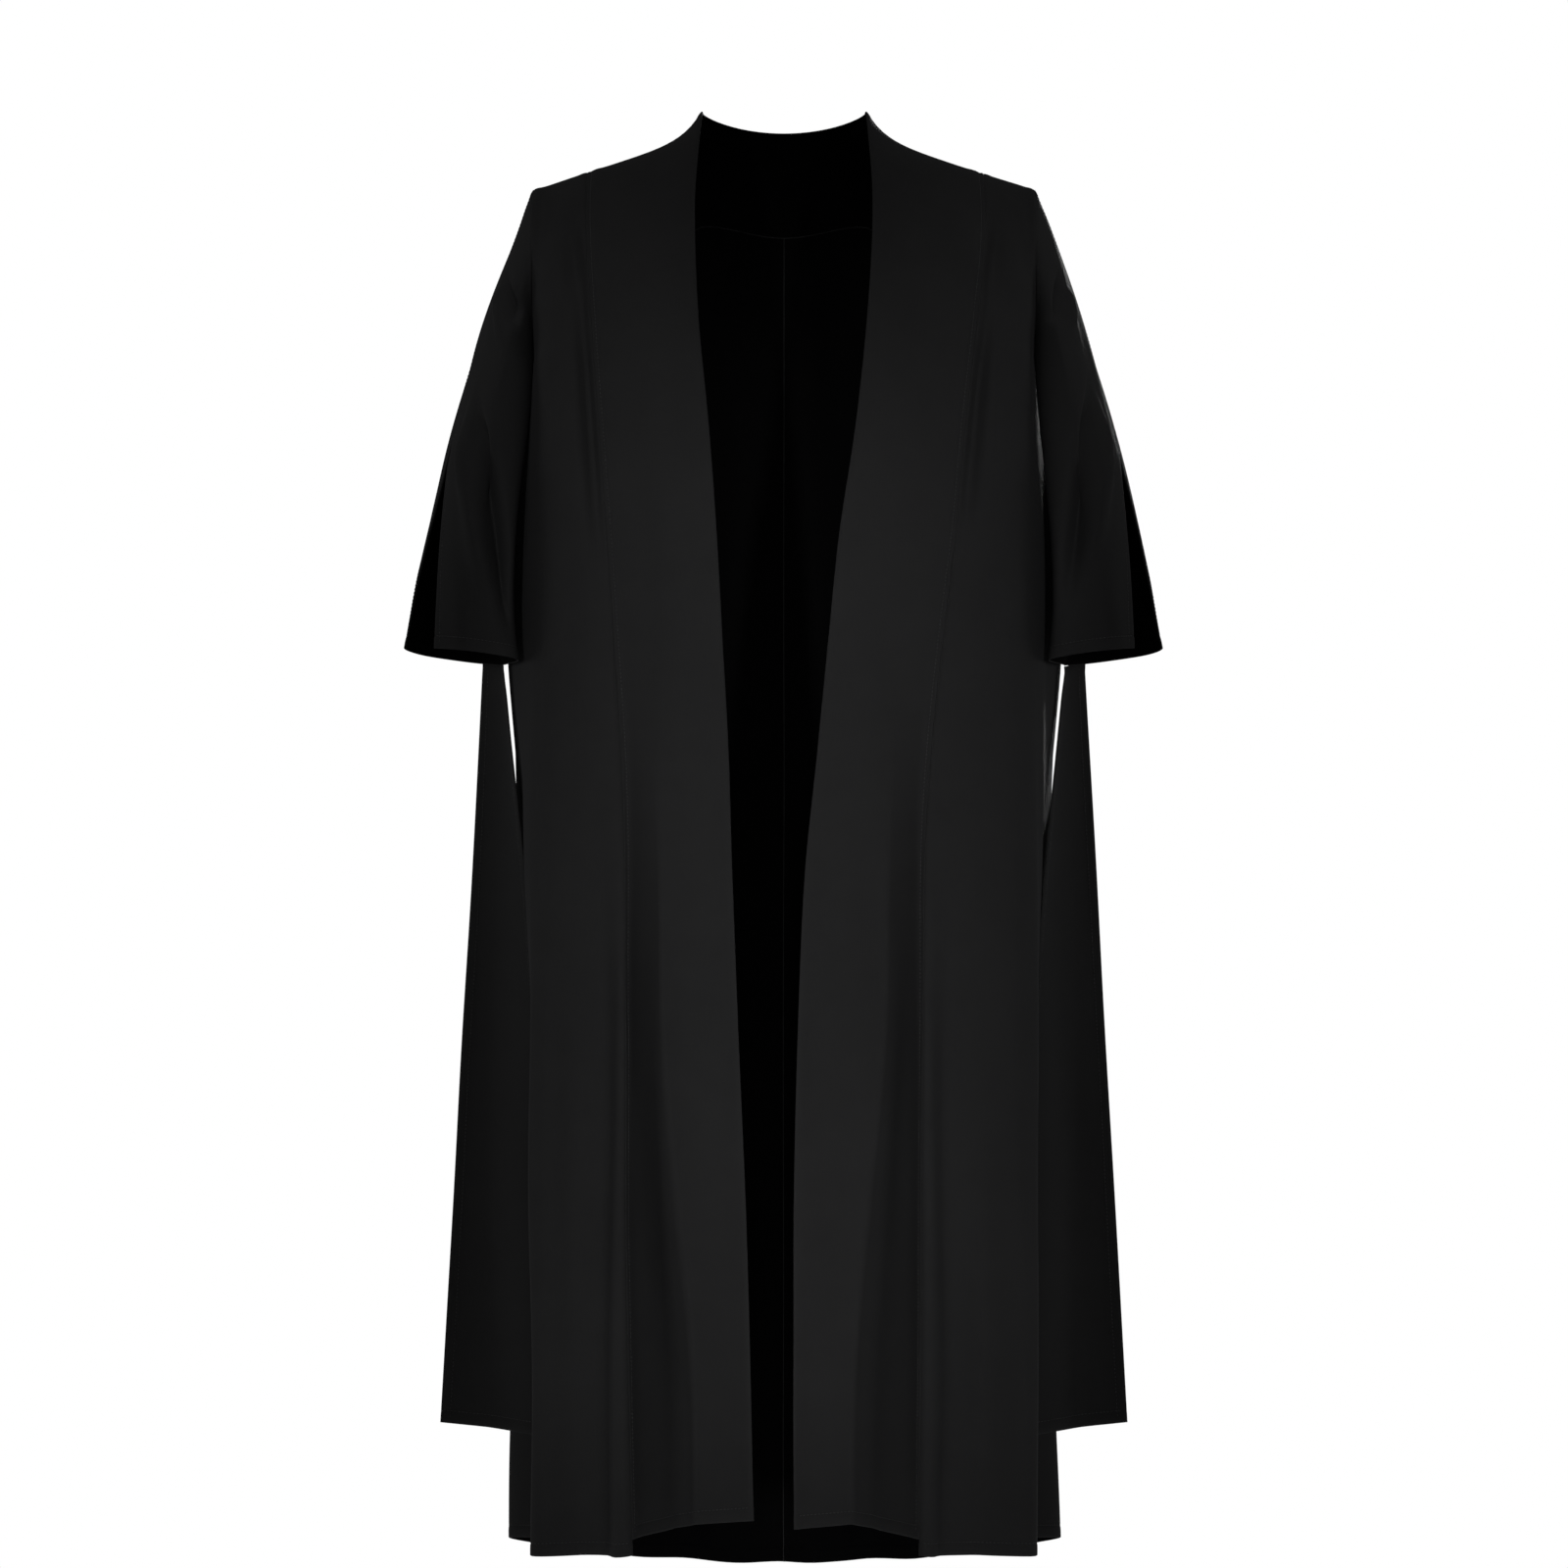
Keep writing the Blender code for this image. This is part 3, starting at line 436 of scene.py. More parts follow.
# The cut of each kind of piece: the width and length of cloth that it comes from, its flat area, how it
# is held, and the node that it hangs from, on its own side where there are two
CUTS = table(
    "piece flat area held hangs_from",
    ("front_band_left", (0.125, 1.360), 0.168, "hung", "back_yoke"),
    ("front_band_right", (0.125, 1.350), 0.160, "hung", "back_yoke"),
    ("front_panel_left", (0.300, 1.350), 0.281, "hung", "back_yoke"),
    ("front_panel_right", (0.295, 1.350), 0.269, "hung", "back_yoke"),
    ("back_yoke", (0.610, 0.190), 0.072, "draped", ""),
    ("back_skirt", (0.520, 1.290), 0.490, "hung", "back_yoke"),
    ("sleeve_front", (0.260, 0.470), 0.0735, "hung", "front_panel"),
    ("sleeve_back", (0.250, 0.450), 0.073, "hung", "back_yoke"),
    ("hanging_panel", (0.145, 0.725), 0.079, "hung", "sleeve_back"),
)

# Looks of the cloth and its thread
CLOTH_DARK = (0.0092, 0.0092, 0.0094, 1.0)
CLOTH_PALE = (0.0142, 0.0142, 0.0144, 1.0)
# The inner faces: the same cloth drawn much darker, as painted shade inside the gown
PAINTED_SHADE_INSIDE_DARK = (0.0012, 0.0012, 0.0013, 1.0)
PAINTED_SHADE_INSIDE_PALE = (0.0022, 0.0022, 0.0023, 1.0)
THREAD_DARK = (0.0100, 0.0100, 0.0102, 1.0)
THREAD_PALE = (0.0180, 0.0180, 0.0182, 1.0)
WHITE = (1.0, 1.0, 1.0, 1.0)
# A mix node's sockets for its two colours and its result, which share their names with other sockets
MIX_FIRST = 6
MIX_SECOND = 7
MIX_RESULT = 2
SHEEN_ROUGHNESS = 0.45
SHEEN_TINT = (0.55, 0.55, 0.58, 1.0)
# The weave: the pitch of its threads, how fine slubs are across them and along them in turns a metre, and
# how much the threads' crossings count in the relief beside the slubs
THREAD_PITCH = 0.00055
SLUB_FINE = 900
SLUB_LONG = 40
CROSSING_SHARE = 0.5
# How much each pattern adds to the cloth's tone, from dark to pale; the slubs' mean is taken off again
# Near free edges the tone rises: partly wear, partly a painted highlight
TONES = {"start": -0.30, "soft": 1.1, "patch": 0.35, "slub": 0.22, "slub mean": 0.20, "edge wear and highlight": 0.30}
ROUGH_LEAST = 0.80
ROUGH_CHANGE = 0.12


def rate_of(values, places):
    """Slope of a curve at each of its own points, as a mean of its two neighbours' slopes."""
    steps = np.diff(values) / np.diff(places)
    return np.concatenate([steps[:1], (steps[:-1] + steps[1:]) / 2, steps[-1:]])


def read(sections, column, height):
    """A smooth reading of one column of a table of sections at any height."""
    places = -np.array(sections["height"])
    values = np.array(sections[column])
    at = np.clip(-np.asarray(height), places[0], places[-1])
    i = np.clip(np.searchsorted(places, at) - 1, 0, len(places) - 2)
    gap = places[i + 1] - places[i]
    t = (at - places[i]) / gap
    slopes = rate_of(values, places)
    return (
        (1 + 2 * t) * (1 - t) ** 2 * values[i]
        + t**2 * (3 - 2 * t) * values[i + 1]
        + gap * t * (1 - t) ** 2 * slopes[i]
        - gap * t**2 * (1 - t) * slopes[i + 1]
    )


def eased(t):
    """A smooth step from 0 to 1."""
    t = np.clip(t, 0, 1)
    return t * t * (3 - 2 * t)


def bump(distance, centre, reach):
    """A soft hump of height 1 at a distance."""
    return np.exp(-(((distance - centre) / reach) ** 2))


def row_shares():
    """Shares of the rows above the skirt height, and the row of the yoke seam and of the underarm."""
    found = []
    for start, end, count in zip(ROW_BREAKS, ROW_BREAKS[1:], ROW_COUNTS):
        found.extend(start + (end - start) * k / count for k in range(count))
    found.append(1.0)
    found = np.array(found)
    return found, int(np.argmin(abs(found - YOKE_SHARE))), int(np.argmin(abs(found - UNDERARM_SHARE)))


SHARES, YOKE_ROW, UNDERARM_ROW = row_shares()


def shoulder_height(x):
    """Height of the shoulder line at a distance from the middle plane."""
    out = np.maximum(np.abs(x) - NECK_HALF_WIDTH, 0)
    return -SHOULDER_SLOPE * out - NECK_RISE * (1 - np.exp(-out / NECK_RISE_REACH))


def arch(drop, rounding):
    """Share of its full depth that the cloth has reached at a distance below the shoulder line."""
    t = np.clip(drop / rounding, 0, 1)
    return np.sqrt(1 - (1 - t) ** 2)


TIP_HEIGHT = float(shoulder_height(SHOULDER_HALF_WIDTH))
ARMHOLE_MIDDLE = (TIP_HEIGHT + UNDERARM_HEIGHT) / 2
ARMHOLE_HALF_HEIGHT = (TIP_HEIGHT - UNDERARM_HEIGHT) / 2


def row_heights(top, hem):
    """Heights of a guide's points: shared rows down to the skirt, and then rows that follow its hem."""
    heights = top + (SKIRT_HEIGHT - top) * SHARES
    skirt = np.linspace(SKIRT_HEIGHT, hem + SKIRT_ROWS_END, SKIRT_ROWS + 1)[1:]
    return np.concatenate([heights, skirt, hem + np.array(ABOVE_HEM)])


def guide(top, hem, width, depth, rounding, roof=None):
    """One guide's points. width and depth are read at each height, and depth grows under the roof."""
    z = row_heights(top, hem)
    share = arch((top if roof is None else roof) - z, rounding)
    return np.stack([width(z), depth(z) * share, z], axis=1)


def front_guides(side):
    """The guides of a front on the positive side, from its edge to its outer corner, in two lists."""

    def width(name, z):
        if name == "middle":
            return (width("seam", z) + width("corner", z)) / 2
        own = f"{name}_{side}"
        return read(FRONT_WIDTHS, own if own in FRONT_WIDTHS else name, z)

    def front_guide(name, hem):
        top = float(shoulder_height(width(name, 0.0)))
        return guide(
            top, HEMS[hem], lambda z: width(name, z), lambda z: -read(FRONT_DEPTHS, name, z), ROUNDING[name]
        )

    band = (("edge", f"edge_{side}"), ("dip", "dip"), ("seam", "band_seam"))
    panel = (("seam", "panel_seam"), ("middle", "middle"), ("corner", "corner"))
    return [front_guide(*names) for names in band], [front_guide(*names) for names in panel]


def side_guide(facing):
    """The armhole's front (facing -1) or back (+1) edge, and below it the side seam."""
    z = row_heights(TIP_HEIGHT, HEMS["side"])
    z[UNDERARM_ROW] = UNDERARM_HEIGHT
    turn = np.clip((z - ARMHOLE_MIDDLE) / ARMHOLE_HALF_HEIGHT, -1, 1)
    armhole = facing * ARMHOLE_HALF_DEPTH * np.sqrt(1 - turn**2)
    in_armhole = np.arange(len(z)) < UNDERARM_ROW
    y = np.where(in_armhole, armhole, read(BACK_SECTIONS, "side_y", z))
    return np.stack([read(BACK_SECTIONS, "side_x", z), y, z], axis=1)


def back_guides():
    """The guides of half the back, from beside the armhole to the centre, on the positive side."""

    def column(name):
        return lambda z: read(BACK_SECTIONS, name, z)

    found = []
    for name in ("flank", "skirt", "blade", "neck"):
        top = float(shoulder_height(BACK_SECTIONS[f"{name}_x"][0]))
        width, depth = column(f"{name}_x"), column(f"{name}_y")
        found.append(guide(top, HEMS[name], width, depth, ROUNDING[name]))
    depth, rounding = column("back_y"), ROUNDING["back"]
    found.append(guide(-NECK_DROP, HEMS["back"], np.zeros_like, depth, rounding, NAPE_ROOF))
    return found


def smooth(p0, p1, p2, p3, t):
    """A point between p1 and p2 on the smooth curve through four points."""
    return (
        p1
        + 0.5 * t * (p2 - p0)
        + t**2 * (p0 - 2.5 * p1 + 2 * p2 - 0.5 * p3)
        + t**3 * (1.5 * (p1 - p2) + 0.5 * (p3 - p0))
    )


def through(guides, places, before=None, after=None):
    """Rows of a smooth surface through guides, with a column at each place between them."""
    first = 2 * guides[0] - guides[1] if before is None else before
    last = 2 * guides[-1] - guides[-2] if after is None else after
    chain = [first, *guides, last]
    columns = []
    for place in places:
        i = min(int(place), len(guides) - 2)
        columns.append(smooth(*chain[i : i + 4], place - i))
    return np.stack(columns, axis=1)


def below_underarm(guide_points, edge, neighbour):
    """What lies past an edge: the next guide below the underarm, and the edge's own run above it."""
    rows = np.arange(len(edge))[:, None]
    return np.where(rows >= UNDERARM_ROW, guide_points, 2 * edge - neighbour)


def fade_from_top(rows):
    """Weights that fall from 1 at the shoulder line to 0 at the armhole's lower part."""
    shares = np.append(SHARES, np.ones(rows - len(SHARES)))
    return np.clip(1 - shares / UNDERARM_SHARE, 0, 1) ** 2


def fold_lift(x, z):
    """How far long hanging folds stand out at a place."""
    lift = np.zeros_like(x)
    for fold in BACK_FOLDS:
        down = np.clip((fold["top"] - z) / (fold["top"] - SKIRT_HEIGHT), 0, 1)
        centre = fold["x_top"] + (fold["x_hem"] - fold["x_top"]) * down
        lift += fold["depth"] * down * (2 - down) * bump(x, centre, fold["width"])
    return lift


def normals_of(rows):
    """Unit normals of a grid of points."""
    found = np.cross(np.gradient(rows, axis=1), np.gradient(rows, axis=0))
    return found / np.linalg.norm(found, axis=2, keepdims=True)


def flat_at_shoulder(normals):
    """Fronts and back meet on the shoulder line, so their normals there have no slope along Y."""
    normals = normals.copy()
    normals[0, :, 1] = 0
    normals[0] /= np.linalg.norm(normals[0], axis=1, keepdims=True)
    return normals


def in_flat_runs(rows, guides):
    """A band whose lower part hangs in two flat runs, which meet in a soft bend at its middle guide."""
    edge, dip, seam = guides
    lower = eased((BEND_TOP - dip[:, 2]) / BEND_REACH)
    dip = dip + lower[:, None] * np.array([0, BEND_DEEPER, 0])
    place = np.array(BAND_PLACES)[None, :, None]
    inner = edge[:, None] + (dip - edge)[:, None] * place
    outer = dip[:, None] + (seam - dip)[:, None] * (place - 1)
    flat = np.where(place < 1, inner, outer)
    return rows + (BEND_SHARE * lower)[:, None, None] * (flat - rows)


def front_surface(side):
    """Rows of a band and of a front panel, on the positive side."""
    band, panel = front_guides(side)
    edge = side_guide(-1)
    after = below_underarm(back_guides()[0], edge, panel[-1])
    band_rows = in_flat_runs(through(band, BAND_PLACES, after=panel[1]), band)
    panel_rows = through([*panel, edge], PANEL_PLACES, before=band[1], after=after)
    for rows in (band_rows, panel_rows):
        lift = shoulder_height(rows[0, :, 0]) - rows[0, :, 2]
        lift[-1] = 0
        rows[:, :, 2] += fade_from_top(len(rows))[:, None] * lift
    return band_rows, panel_rows


def neckline_point(share):
    """The back neckline, from the side of the neck (0) to the centre (1)."""
    turn = share * math.pi / 2
    return np.array([
        NECK_HALF_WIDTH * math.cos(turn), NECK_DEPTH * math.sin(turn), -NECK_DROP * math.sin(turn) ** 2
    ])


def mirrored(points):
    """The points on the other side of the middle plane."""
    return points * np.array([-1.0, 1.0, 1.0])


def back_surface():
    """Rows of the whole back, from the left side to the right."""
    half = [side_guide(1), *back_guides()]
    corner = front_guides("left")[1][-1]
    before = below_underarm(corner, half[0], half[1])
    chain = half + [mirrored(guide_points) for guide_points in half[-2::-1]]
    places = HALF_BACK_PLACES + tuple(2 * CENTRE_PLACE - place for place in HALF_BACK_PLACES[-2::-1])
    rows = through(chain, places, before=before, after=mirrored(before))
    top = rows[0].copy()
    top[:, 1] = 0
    top[:, 2] = shoulder_height(top[:, 0])
    for k, place in enumerate(HALF_BACK_PLACES):
        if place >= NECK_PLACE:
            point = neckline_point(place - NECK_PLACE)
            top[k] = point
            top[-1 - k] = mirrored(point)
    rows += fade_from_top(len(rows))[:, None, None] * (top - rows[0])
    lift = fold_lift(rows[:, :, 0], rows[:, :, 2])
    from_side = np.minimum(np.array(places), 2 * CENTRE_PLACE - np.array(places))
    rows[:, :, 1] += lift * eased(from_side - FOLDS_PLACE)
    return rows


def elbow_points(turns):
    """Points of the smooth closed curve through the places of the elbow hem."""
    hem = np.array([[place[axis] for axis in "xyz"] for place in ELBOW_HEM])
    place = np.asarray(turns) / (2 * math.pi) * len(hem)
    i = np.floor(place).astype(int)
    corners = [hem[(i + k) % len(hem)] for k in (-1, 0, 1, 2)]
    return smooth(*corners, (place - i)[..., None])


def leaving(turns):
    """The direction in which the sleeve leaves the armhole at each turn round it."""
    ways = np.array([[way["outward"], -way["forward"], -way["down"]] for way in SLEEVE_LEAVES])
    count = len(ways)
    place = np.asarray(turns) / (2 * math.pi) * count
    i = np.floor(place).astype(int)
    return ways[i % count] + (ways[(i + 1) % count] - ways[i % count]) * eased(place - i)[..., None]


def sleeve_points(turns, shares):
    """Places on a sleeve: turn 0 is its outer edge, a quarter the front; share 0 is the armhole."""
    y = -ARMHOLE_HALF_DEPTH * np.sin(turns)
    z = ARMHOLE_MIDDLE + ARMHOLE_HALF_HEIGHT * np.cos(turns)
    tuck = TUCK * eased((TUCK_START - np.cos(turns)) / TUCK_GROWTH)
    start = np.stack([SHOULDER_HALF_WIDTH + SEAM_GAP - tuck, y, z], axis=-1)
    end = elbow_points(turns)
    length = np.linalg.norm(end - start, axis=-1, keepdims=True)
    arrive = np.stack(
        [SLEEVE_ENDS["outward"] * np.cos(turns), np.zeros_like(y), np.full_like(y, -SLEEVE_ENDS["down"])],
        axis=-1,
    )
    s = shares[..., None]
    return (
        (1 + 2 * s) * (1 - s) ** 2 * start
        + s**2 * (3 - 2 * s) * end
        + s * (1 - s) ** 2 * leaving(turns) * length
        - s**2 * (1 - s) * arrive * length
    )


def hanging_grid():
    """Rows of a hanging panel, from the elbow hem down to its own hem."""
    hem = np.array([[place[axis] for axis in "xyz"] for place in HANG_HEM])
    ends = np.linspace(0, 1, len(hem))
    low = np.stack([np.interp(HANG_ACROSS, ends, hem[:, axis]) for axis in range(3)], axis=1)
    high = elbow_points(HANG_TURNS) - np.array([0, 0, SEAM_GAP])
    down = HANG_DOWN[:, None, None]
    return high * (1 - down) + low * down


def laid_on(path, points, normals, view):
    """A crease's path as a smooth line over the points that face the viewer, or None if none does."""
    axes, towards = VIEWS[view]
    shown = points[normals @ np.array(towards) > FACING]
    if not len(shown):
        return None
    found = []
    for place in path:
        apart = ((shown[:, axes] - np.array(place)) ** 2).sum(axis=1)
        found.append(shown[apart.argmin()])
    found = [2 * found[0] - found[1], *found, 2 * found[-1] - found[-2]]
    steps = np.arange(CREASE_STEPS) / CREASE_STEPS
    line = [smooth(*found[i : i + 4], step) for i in range(len(found) - 3) for step in steps]
    return np.array([*line, found[-2]])


def beside(line, points):
    """Each point's distance from a line, and how far along the line that is, from 0 to 1."""
    nearest = np.full(len(points), np.inf)
    along = np.zeros(len(points))
    for k, (start, end) in enumerate(zip(line, line[1:])):
        run = end - start
        t = np.clip((points - start) @ run / max(run @ run, TINY), 0, 1)
        apart = np.linalg.norm(points - start - t[:, None] * run, axis=1)
        closer = apart < nearest
        nearest[closer] = apart[closer]
        along[closer] = (k + t[closer]) / (len(line) - 1)
    return nearest, along


def crease_lift(points, normals, crease, view):
    """How far a crease moves each point along its normal."""
    line = laid_on(crease.path, points, normals, view)
    if line is None:
        return 0
    nearest, along = beside(line, points)
    strength = np.ones(len(points))
    for share, end in ((crease.rise, along), (crease.fall, 1 - along)):
        if share:
            strength *= eased(end / share)
    return crease.depth * strength * bump(nearest, 0, crease.width)


def wave_lift(points):
    """How far the soft unevenness of the cloth moves each point."""
    lift = np.zeros(len(points))
    across = points[:, 0] + WAVE_BACKWARDS * points[:, 1]
    for wave in WAVES:
        turn = 2 * math.pi * (across + wave["lean"] * points[:, 2]) / wave["length"] + wave["start"]
        swell = 1 - SWELL + SWELL * np.sin(wave["drift"] * 2 * math.pi * points[:, 2] + wave["start"])
        lift += wave["depth"] * swell * np.sin(turn)
    below_shoulders = eased((WAVES_TOP - points[:, 2]) / WAVES_GROWTH)
    return lift * below_shoulders


def away_from_armhole(points):
    """Weights that fall to 0 at the armhole, where body and sleeve meet on one line."""
    aside = np.abs(np.abs(points[:, 0]) - SHOULDER_HALF_WIDTH)
    below = np.maximum(UNDERARM_HEIGHT - points[:, 2], 0)
    return eased((aside + below - ARMHOLE_HELD) / ARMHOLE_STILL)


def creased(grids, views, flip=np.array):
    """Neighbouring pieces' rows, moved together so that their seams still meet.

    They are moved by waves, and by the creases that views lists for each view.
    """
    points = np.concatenate([rows.reshape(-1, 3) for rows, _ in grids])
    normals = np.concatenate([own.reshape(-1, 3) for _, own in grids])
    lift = np.zeros(len(points))
    for view, own_creases in views.items():
        for crease in own_creases:
            lift += crease_lift(points, normals, crease, view)
    lift += wave_lift(flip(points))
    lift *= away_from_armhole(points)
    moved = points + lift[:, None] * normals
    found = []
    at = 0
    for rows, own in grids:
        count = rows.shape[0] * rows.shape[1]
        found.append((moved[at : at + count].reshape(rows.shape), own))
        at += count
    return found


def edge_distances(rows):
    """Distance along the cloth of every point from the left, right, top and bottom edges."""
    across = np.linalg.norm(np.diff(rows, axis=1), axis=2)
    down = np.linalg.norm(np.diff(rows, axis=0), axis=2)
    left = np.concatenate([np.zeros((len(rows), 1)), np.cumsum(across, axis=1)], axis=1)
    top = np.concatenate([np.zeros((1, rows.shape[1])), np.cumsum(down, axis=0)])
    return {"left": left, "right": left[:, -1:] - left, "top": top, "bottom": top[-1:] - top}


def turned_share(distance, kind):
    """1 on the turned cloth of a hem or slit, and 0 further in."""
    return eased((TURNED[kind] - distance) / TURNED_END)


def edge_relief(distance, kind):
    """How far the cloth stands out beside an edge of each kind."""
    lift = TURNED_RISE * turned_share(distance, kind) if kind in TURNED else 0
    return lift + sum(height * bump(distance, place, reach) for height, place, reach in EDGE_BUMPS[kind])


def edged(rows, normals, edges):
    """The rows with the relief of their seams and hems. edges names a kind for some of the edges."""
    distances = edge_distances(rows)
    lift = sum(edge_relief(distances[edge], kind) for edge, kind in edges.items())
    return rows + lift[:, :, None] * normals


def drawn_back(rows, gap):
    """The rows with their first column drawn back along the cloth by a gap, and the next ones less."""
    along = edge_distances(rows)["left"]
    moved = rows.copy()
    for k, row in enumerate(rows):
        reach = min(DRAWN_LENGTH, DRAWN_SHARE * along[k, -1])
        target = np.where(along[k] < reach, gap + along[k] * (1 - gap / reach), along[k])
        for axis in range(3):
            moved[k, :, axis] = np.interp(target, along[k], row[:, axis])
    return moved


def laid_from(grid, edge):
    """The grid laid so that the named edge is its first column."""
    grid = grid.swapaxes(0, 1) if edge in ("top", "bottom") else grid
    return grid[:, ::-1] if edge in ("right", "bottom") else grid


def laid_back(grid, edge):
    """A grid from laid_from, laid as it was."""
    grid = grid[:, ::-1] if edge in ("right", "bottom") else grid
    return grid.swapaxes(0, 1) if edge in ("top", "bottom") else grid


def pulled_in(rows, gaps):
    """The rows with a gap at each named edge."""
    for edge, gap in gaps.items():
        rows = laid_back(drawn_back(laid_from(rows, edge), gap), edge)
    return rows


def rim_of(height, width):
    """Row and column of every point on the rim of a grid, in order round it."""
    rim = [(0, j) for j in range(width)]
    rim += [(i, width - 1) for i in range(1, height)]
    rim += [(height - 1, j) for j in range(width - 2, -1, -1)]
    rim += [(i, 0) for i in range(height - 2, 0, -1)]
    return np.array(rim)


def unit(vectors):
    """The vectors at length 1."""
    return vectors / np.maximum(np.linalg.norm(vectors, axis=-1, keepdims=True), TINY)


def outward(normals, steps):
    """Unit directions along the cloth, from steps that may lean off it or be nothing."""
    return unit(steps - (steps * normals).sum(axis=1, keepdims=True) * normals)


def placed(name, data):
    """A new object in the scene, made from a mesh, a light or a camera."""
    thing = bpy.data.objects.new(name, data)
    bpy.context.collection.objects.link(thing)
    return thing


def rounded_rim(rows, normals, thickness, i, j):
    """Rings of points that round the cloth's edge, at rows i and columns j, from its outer face inwards."""
    in_i = np.clip(i, 1, rows.shape[0] - 2)
    in_j = np.clip(j, 1, rows.shape[1] - 2)
    facing = normals[i, j]
    away = outward(facing, rows[i, j] - rows[i, in_j]) + outward(facing, rows[i, j] - rows[in_i, j])
    half = thickness[i, j][:, None] / 2
    middle = rows[i, j] - half * facing
    return [middle + half * (math.cos(turn) * facing + math.sin(turn) * away) for turn in RIM_TURNS]


def closed_faces(height, width, i, j):
    """Quads of the outer face, then of the inner face, and then round the rim between them."""
    count = height * width
    a = np.arange(count).reshape(height, width)
    quads = np.stack([a[:-1, :-1], a[1:, :-1], a[1:, 1:], a[:-1, 1:]], axis=-1).reshape(-1, 4)
    loops = [a[i, j]]
    loops += [2 * count + k * len(i) + np.arange(len(i)) for k in range(len(RIM_TURNS))]
    loops += [a[i, j] + count]
    strips = [
        np.stack([here, np.roll(here, -1), np.roll(there, -1), there], axis=-1)
        for here, there in zip(loops, loops[1:])
    ]
    return np.concatenate([quads, quads[:, ::-1] + count, *strips])


def cloth_piece(name, rows, normals, thickness, materials, free_edges):
    """A thin closed cloth: its outer face through the rows, and a rounded rim round its edge."""
    height, width = rows.shape[:2]
    thickness = np.broadcast_to(thickness, (height, width))
    inner = rows - thickness[:, :, None] * normals
    rim_i, rim_j = rim_of(height, width).T
    rings = rounded_rim(rows, normals, thickness, rim_i, rim_j)
    points = np.concatenate([rows.reshape(-1, 3), inner.reshape(-1, 3), *rings])
    faces = closed_faces(height, width, rim_i, rim_j)
    i, j = height // 2, width // 2
    facing = np.cross(rows[i + 1, j] - rows[i, j], rows[i, j + 1] - rows[i, j])
    if facing @ normals[i, j] < 0:
        faces = faces[:, ::-1]
    mesh = bpy.data.meshes.new(name)
    mesh.from_pydata(points.tolist(), [], faces.tolist())
    for material in materials:
        mesh.materials.append(material)
    kinds = np.zeros(len(faces), dtype=np.int32)
    count = (height - 1) * (width - 1)
    # Inner faces take the last material, on most pieces the darker copy that paints shade inside
    kinds[count : 2 * count] = len(materials) - 1
    mesh.polygons.foreach_set("material_index", kinds)

    def on_points(values):
        """The grid's values at the points of both faces and of the rim."""
        face = values.reshape(-1, *values.shape[2:])
        return np.concatenate([face, face] + [values[rim_i, rim_j]] * len(RIM_TURNS))

    distances = edge_distances(rows)
    corners = np.empty(len(mesh.loops), dtype=np.int32)
    mesh.loops.foreach_get("vertex_index", corners)
    flat = on_points(np.stack([distances["left"], distances["bottom"]], axis=-1))
    mesh.uv_layers.new(name="cloth").data.foreach_set("uv", flat[corners].ravel())
    # Paler near free edges, partly as wear and partly as a painted highlight on the rims
    near = np.minimum.reduce([distances[edge] for edge in free_edges])
    wear_and_highlight = on_points(np.exp(-near / EDGE_WEAR_AND_HIGHLIGHT_REACH))
    mesh.attributes.new("edge_wear_and_highlight", "FLOAT", "POINT").data.foreach_set("value", wear_and_highlight)
    mesh.shade_smooth()
    return placed(name, mesh)


def line_inside(rows, normals, edge, inset):
    """Points and normals along a line that runs beside an edge, at an inset from it."""
    grids = [laid_from(grid, edge) for grid in (edge_distances(rows)[edge], rows, normals)]
    points, facing = [], []
    for own, row, normal in zip(*grids):
        points.append([np.interp(inset, own, row[:, axis]) for axis in range(3)])
        facing.append([np.interp(inset, own, normal[:, axis]) for axis in range(3)])
    return np.array(points), unit(np.array(facing))


def stitches(name, lines, material):
    """Rows of short threads that lie on the cloth, with their ends sunk into it."""
    around = np.linspace(0, 2 * math.pi, STITCH_SIDES, endpoint=False)
    last_ring = STITCH_SIDES * (len(STITCH_RINGS) - 1)
    points, faces = [], []
    for line, facing in lines:
        steps = np.linalg.norm(np.diff(line, axis=0), axis=1)
        along = np.concatenate([[0], np.cumsum(steps)])
        starts = np.arange(STITCH_MARGIN, along[-1] - STITCH_MARGIN - STITCH_LENGTH, STITCH_PITCH)

        def at(values, places):
            return np.stack([np.interp(places, along, values[:, axis]) for axis in range(3)], axis=-1)

        forward = unit(at(line, starts + STITCH_LENGTH) - at(line, starts))
        up = unit(at(facing, starts + STITCH_LENGTH / 2))
        aside = unit(np.cross(up, forward))
        rings = []
        for share, size, raised in STITCH_RINGS:
            centre = at(line, starts + share * STITCH_LENGTH) + raised * STITCH_RADIUS * up
            ring = centre[:, None] + size * STITCH_RADIUS * (
                np.cos(around)[:, None] * aside[:, None] + np.sin(around)[:, None] * up[:, None]
            )
            rings.append(ring)
        first = sum(len(block) for block in points)
        block = np.stack(rings, axis=1)
        points.append(block.reshape(-1, 3))
        base = first + np.arange(len(starts))[:, None] * (last_ring + STITCH_SIDES)
        near = np.arange(STITCH_SIDES)
        there = np.roll(near, -1)
        for ring in range(0, last_ring, STITCH_SIDES):
            quad = np.stack([near, there, there + STITCH_SIDES, near + STITCH_SIDES], axis=-1) + ring
            faces.extend((base[:, :, None] + quad[None]).reshape(-1, 4).tolist())
        faces.extend((base + near[::-1][None]).tolist())
        faces.extend((base + near[None] + last_ring).tolist())
    mesh = bpy.data.meshes.new(name)
    mesh.from_pydata(np.concatenate(points).tolist(), [], faces)
    mesh.materials.append(material)
    mesh.shade_smooth()
    return placed(name, mesh)


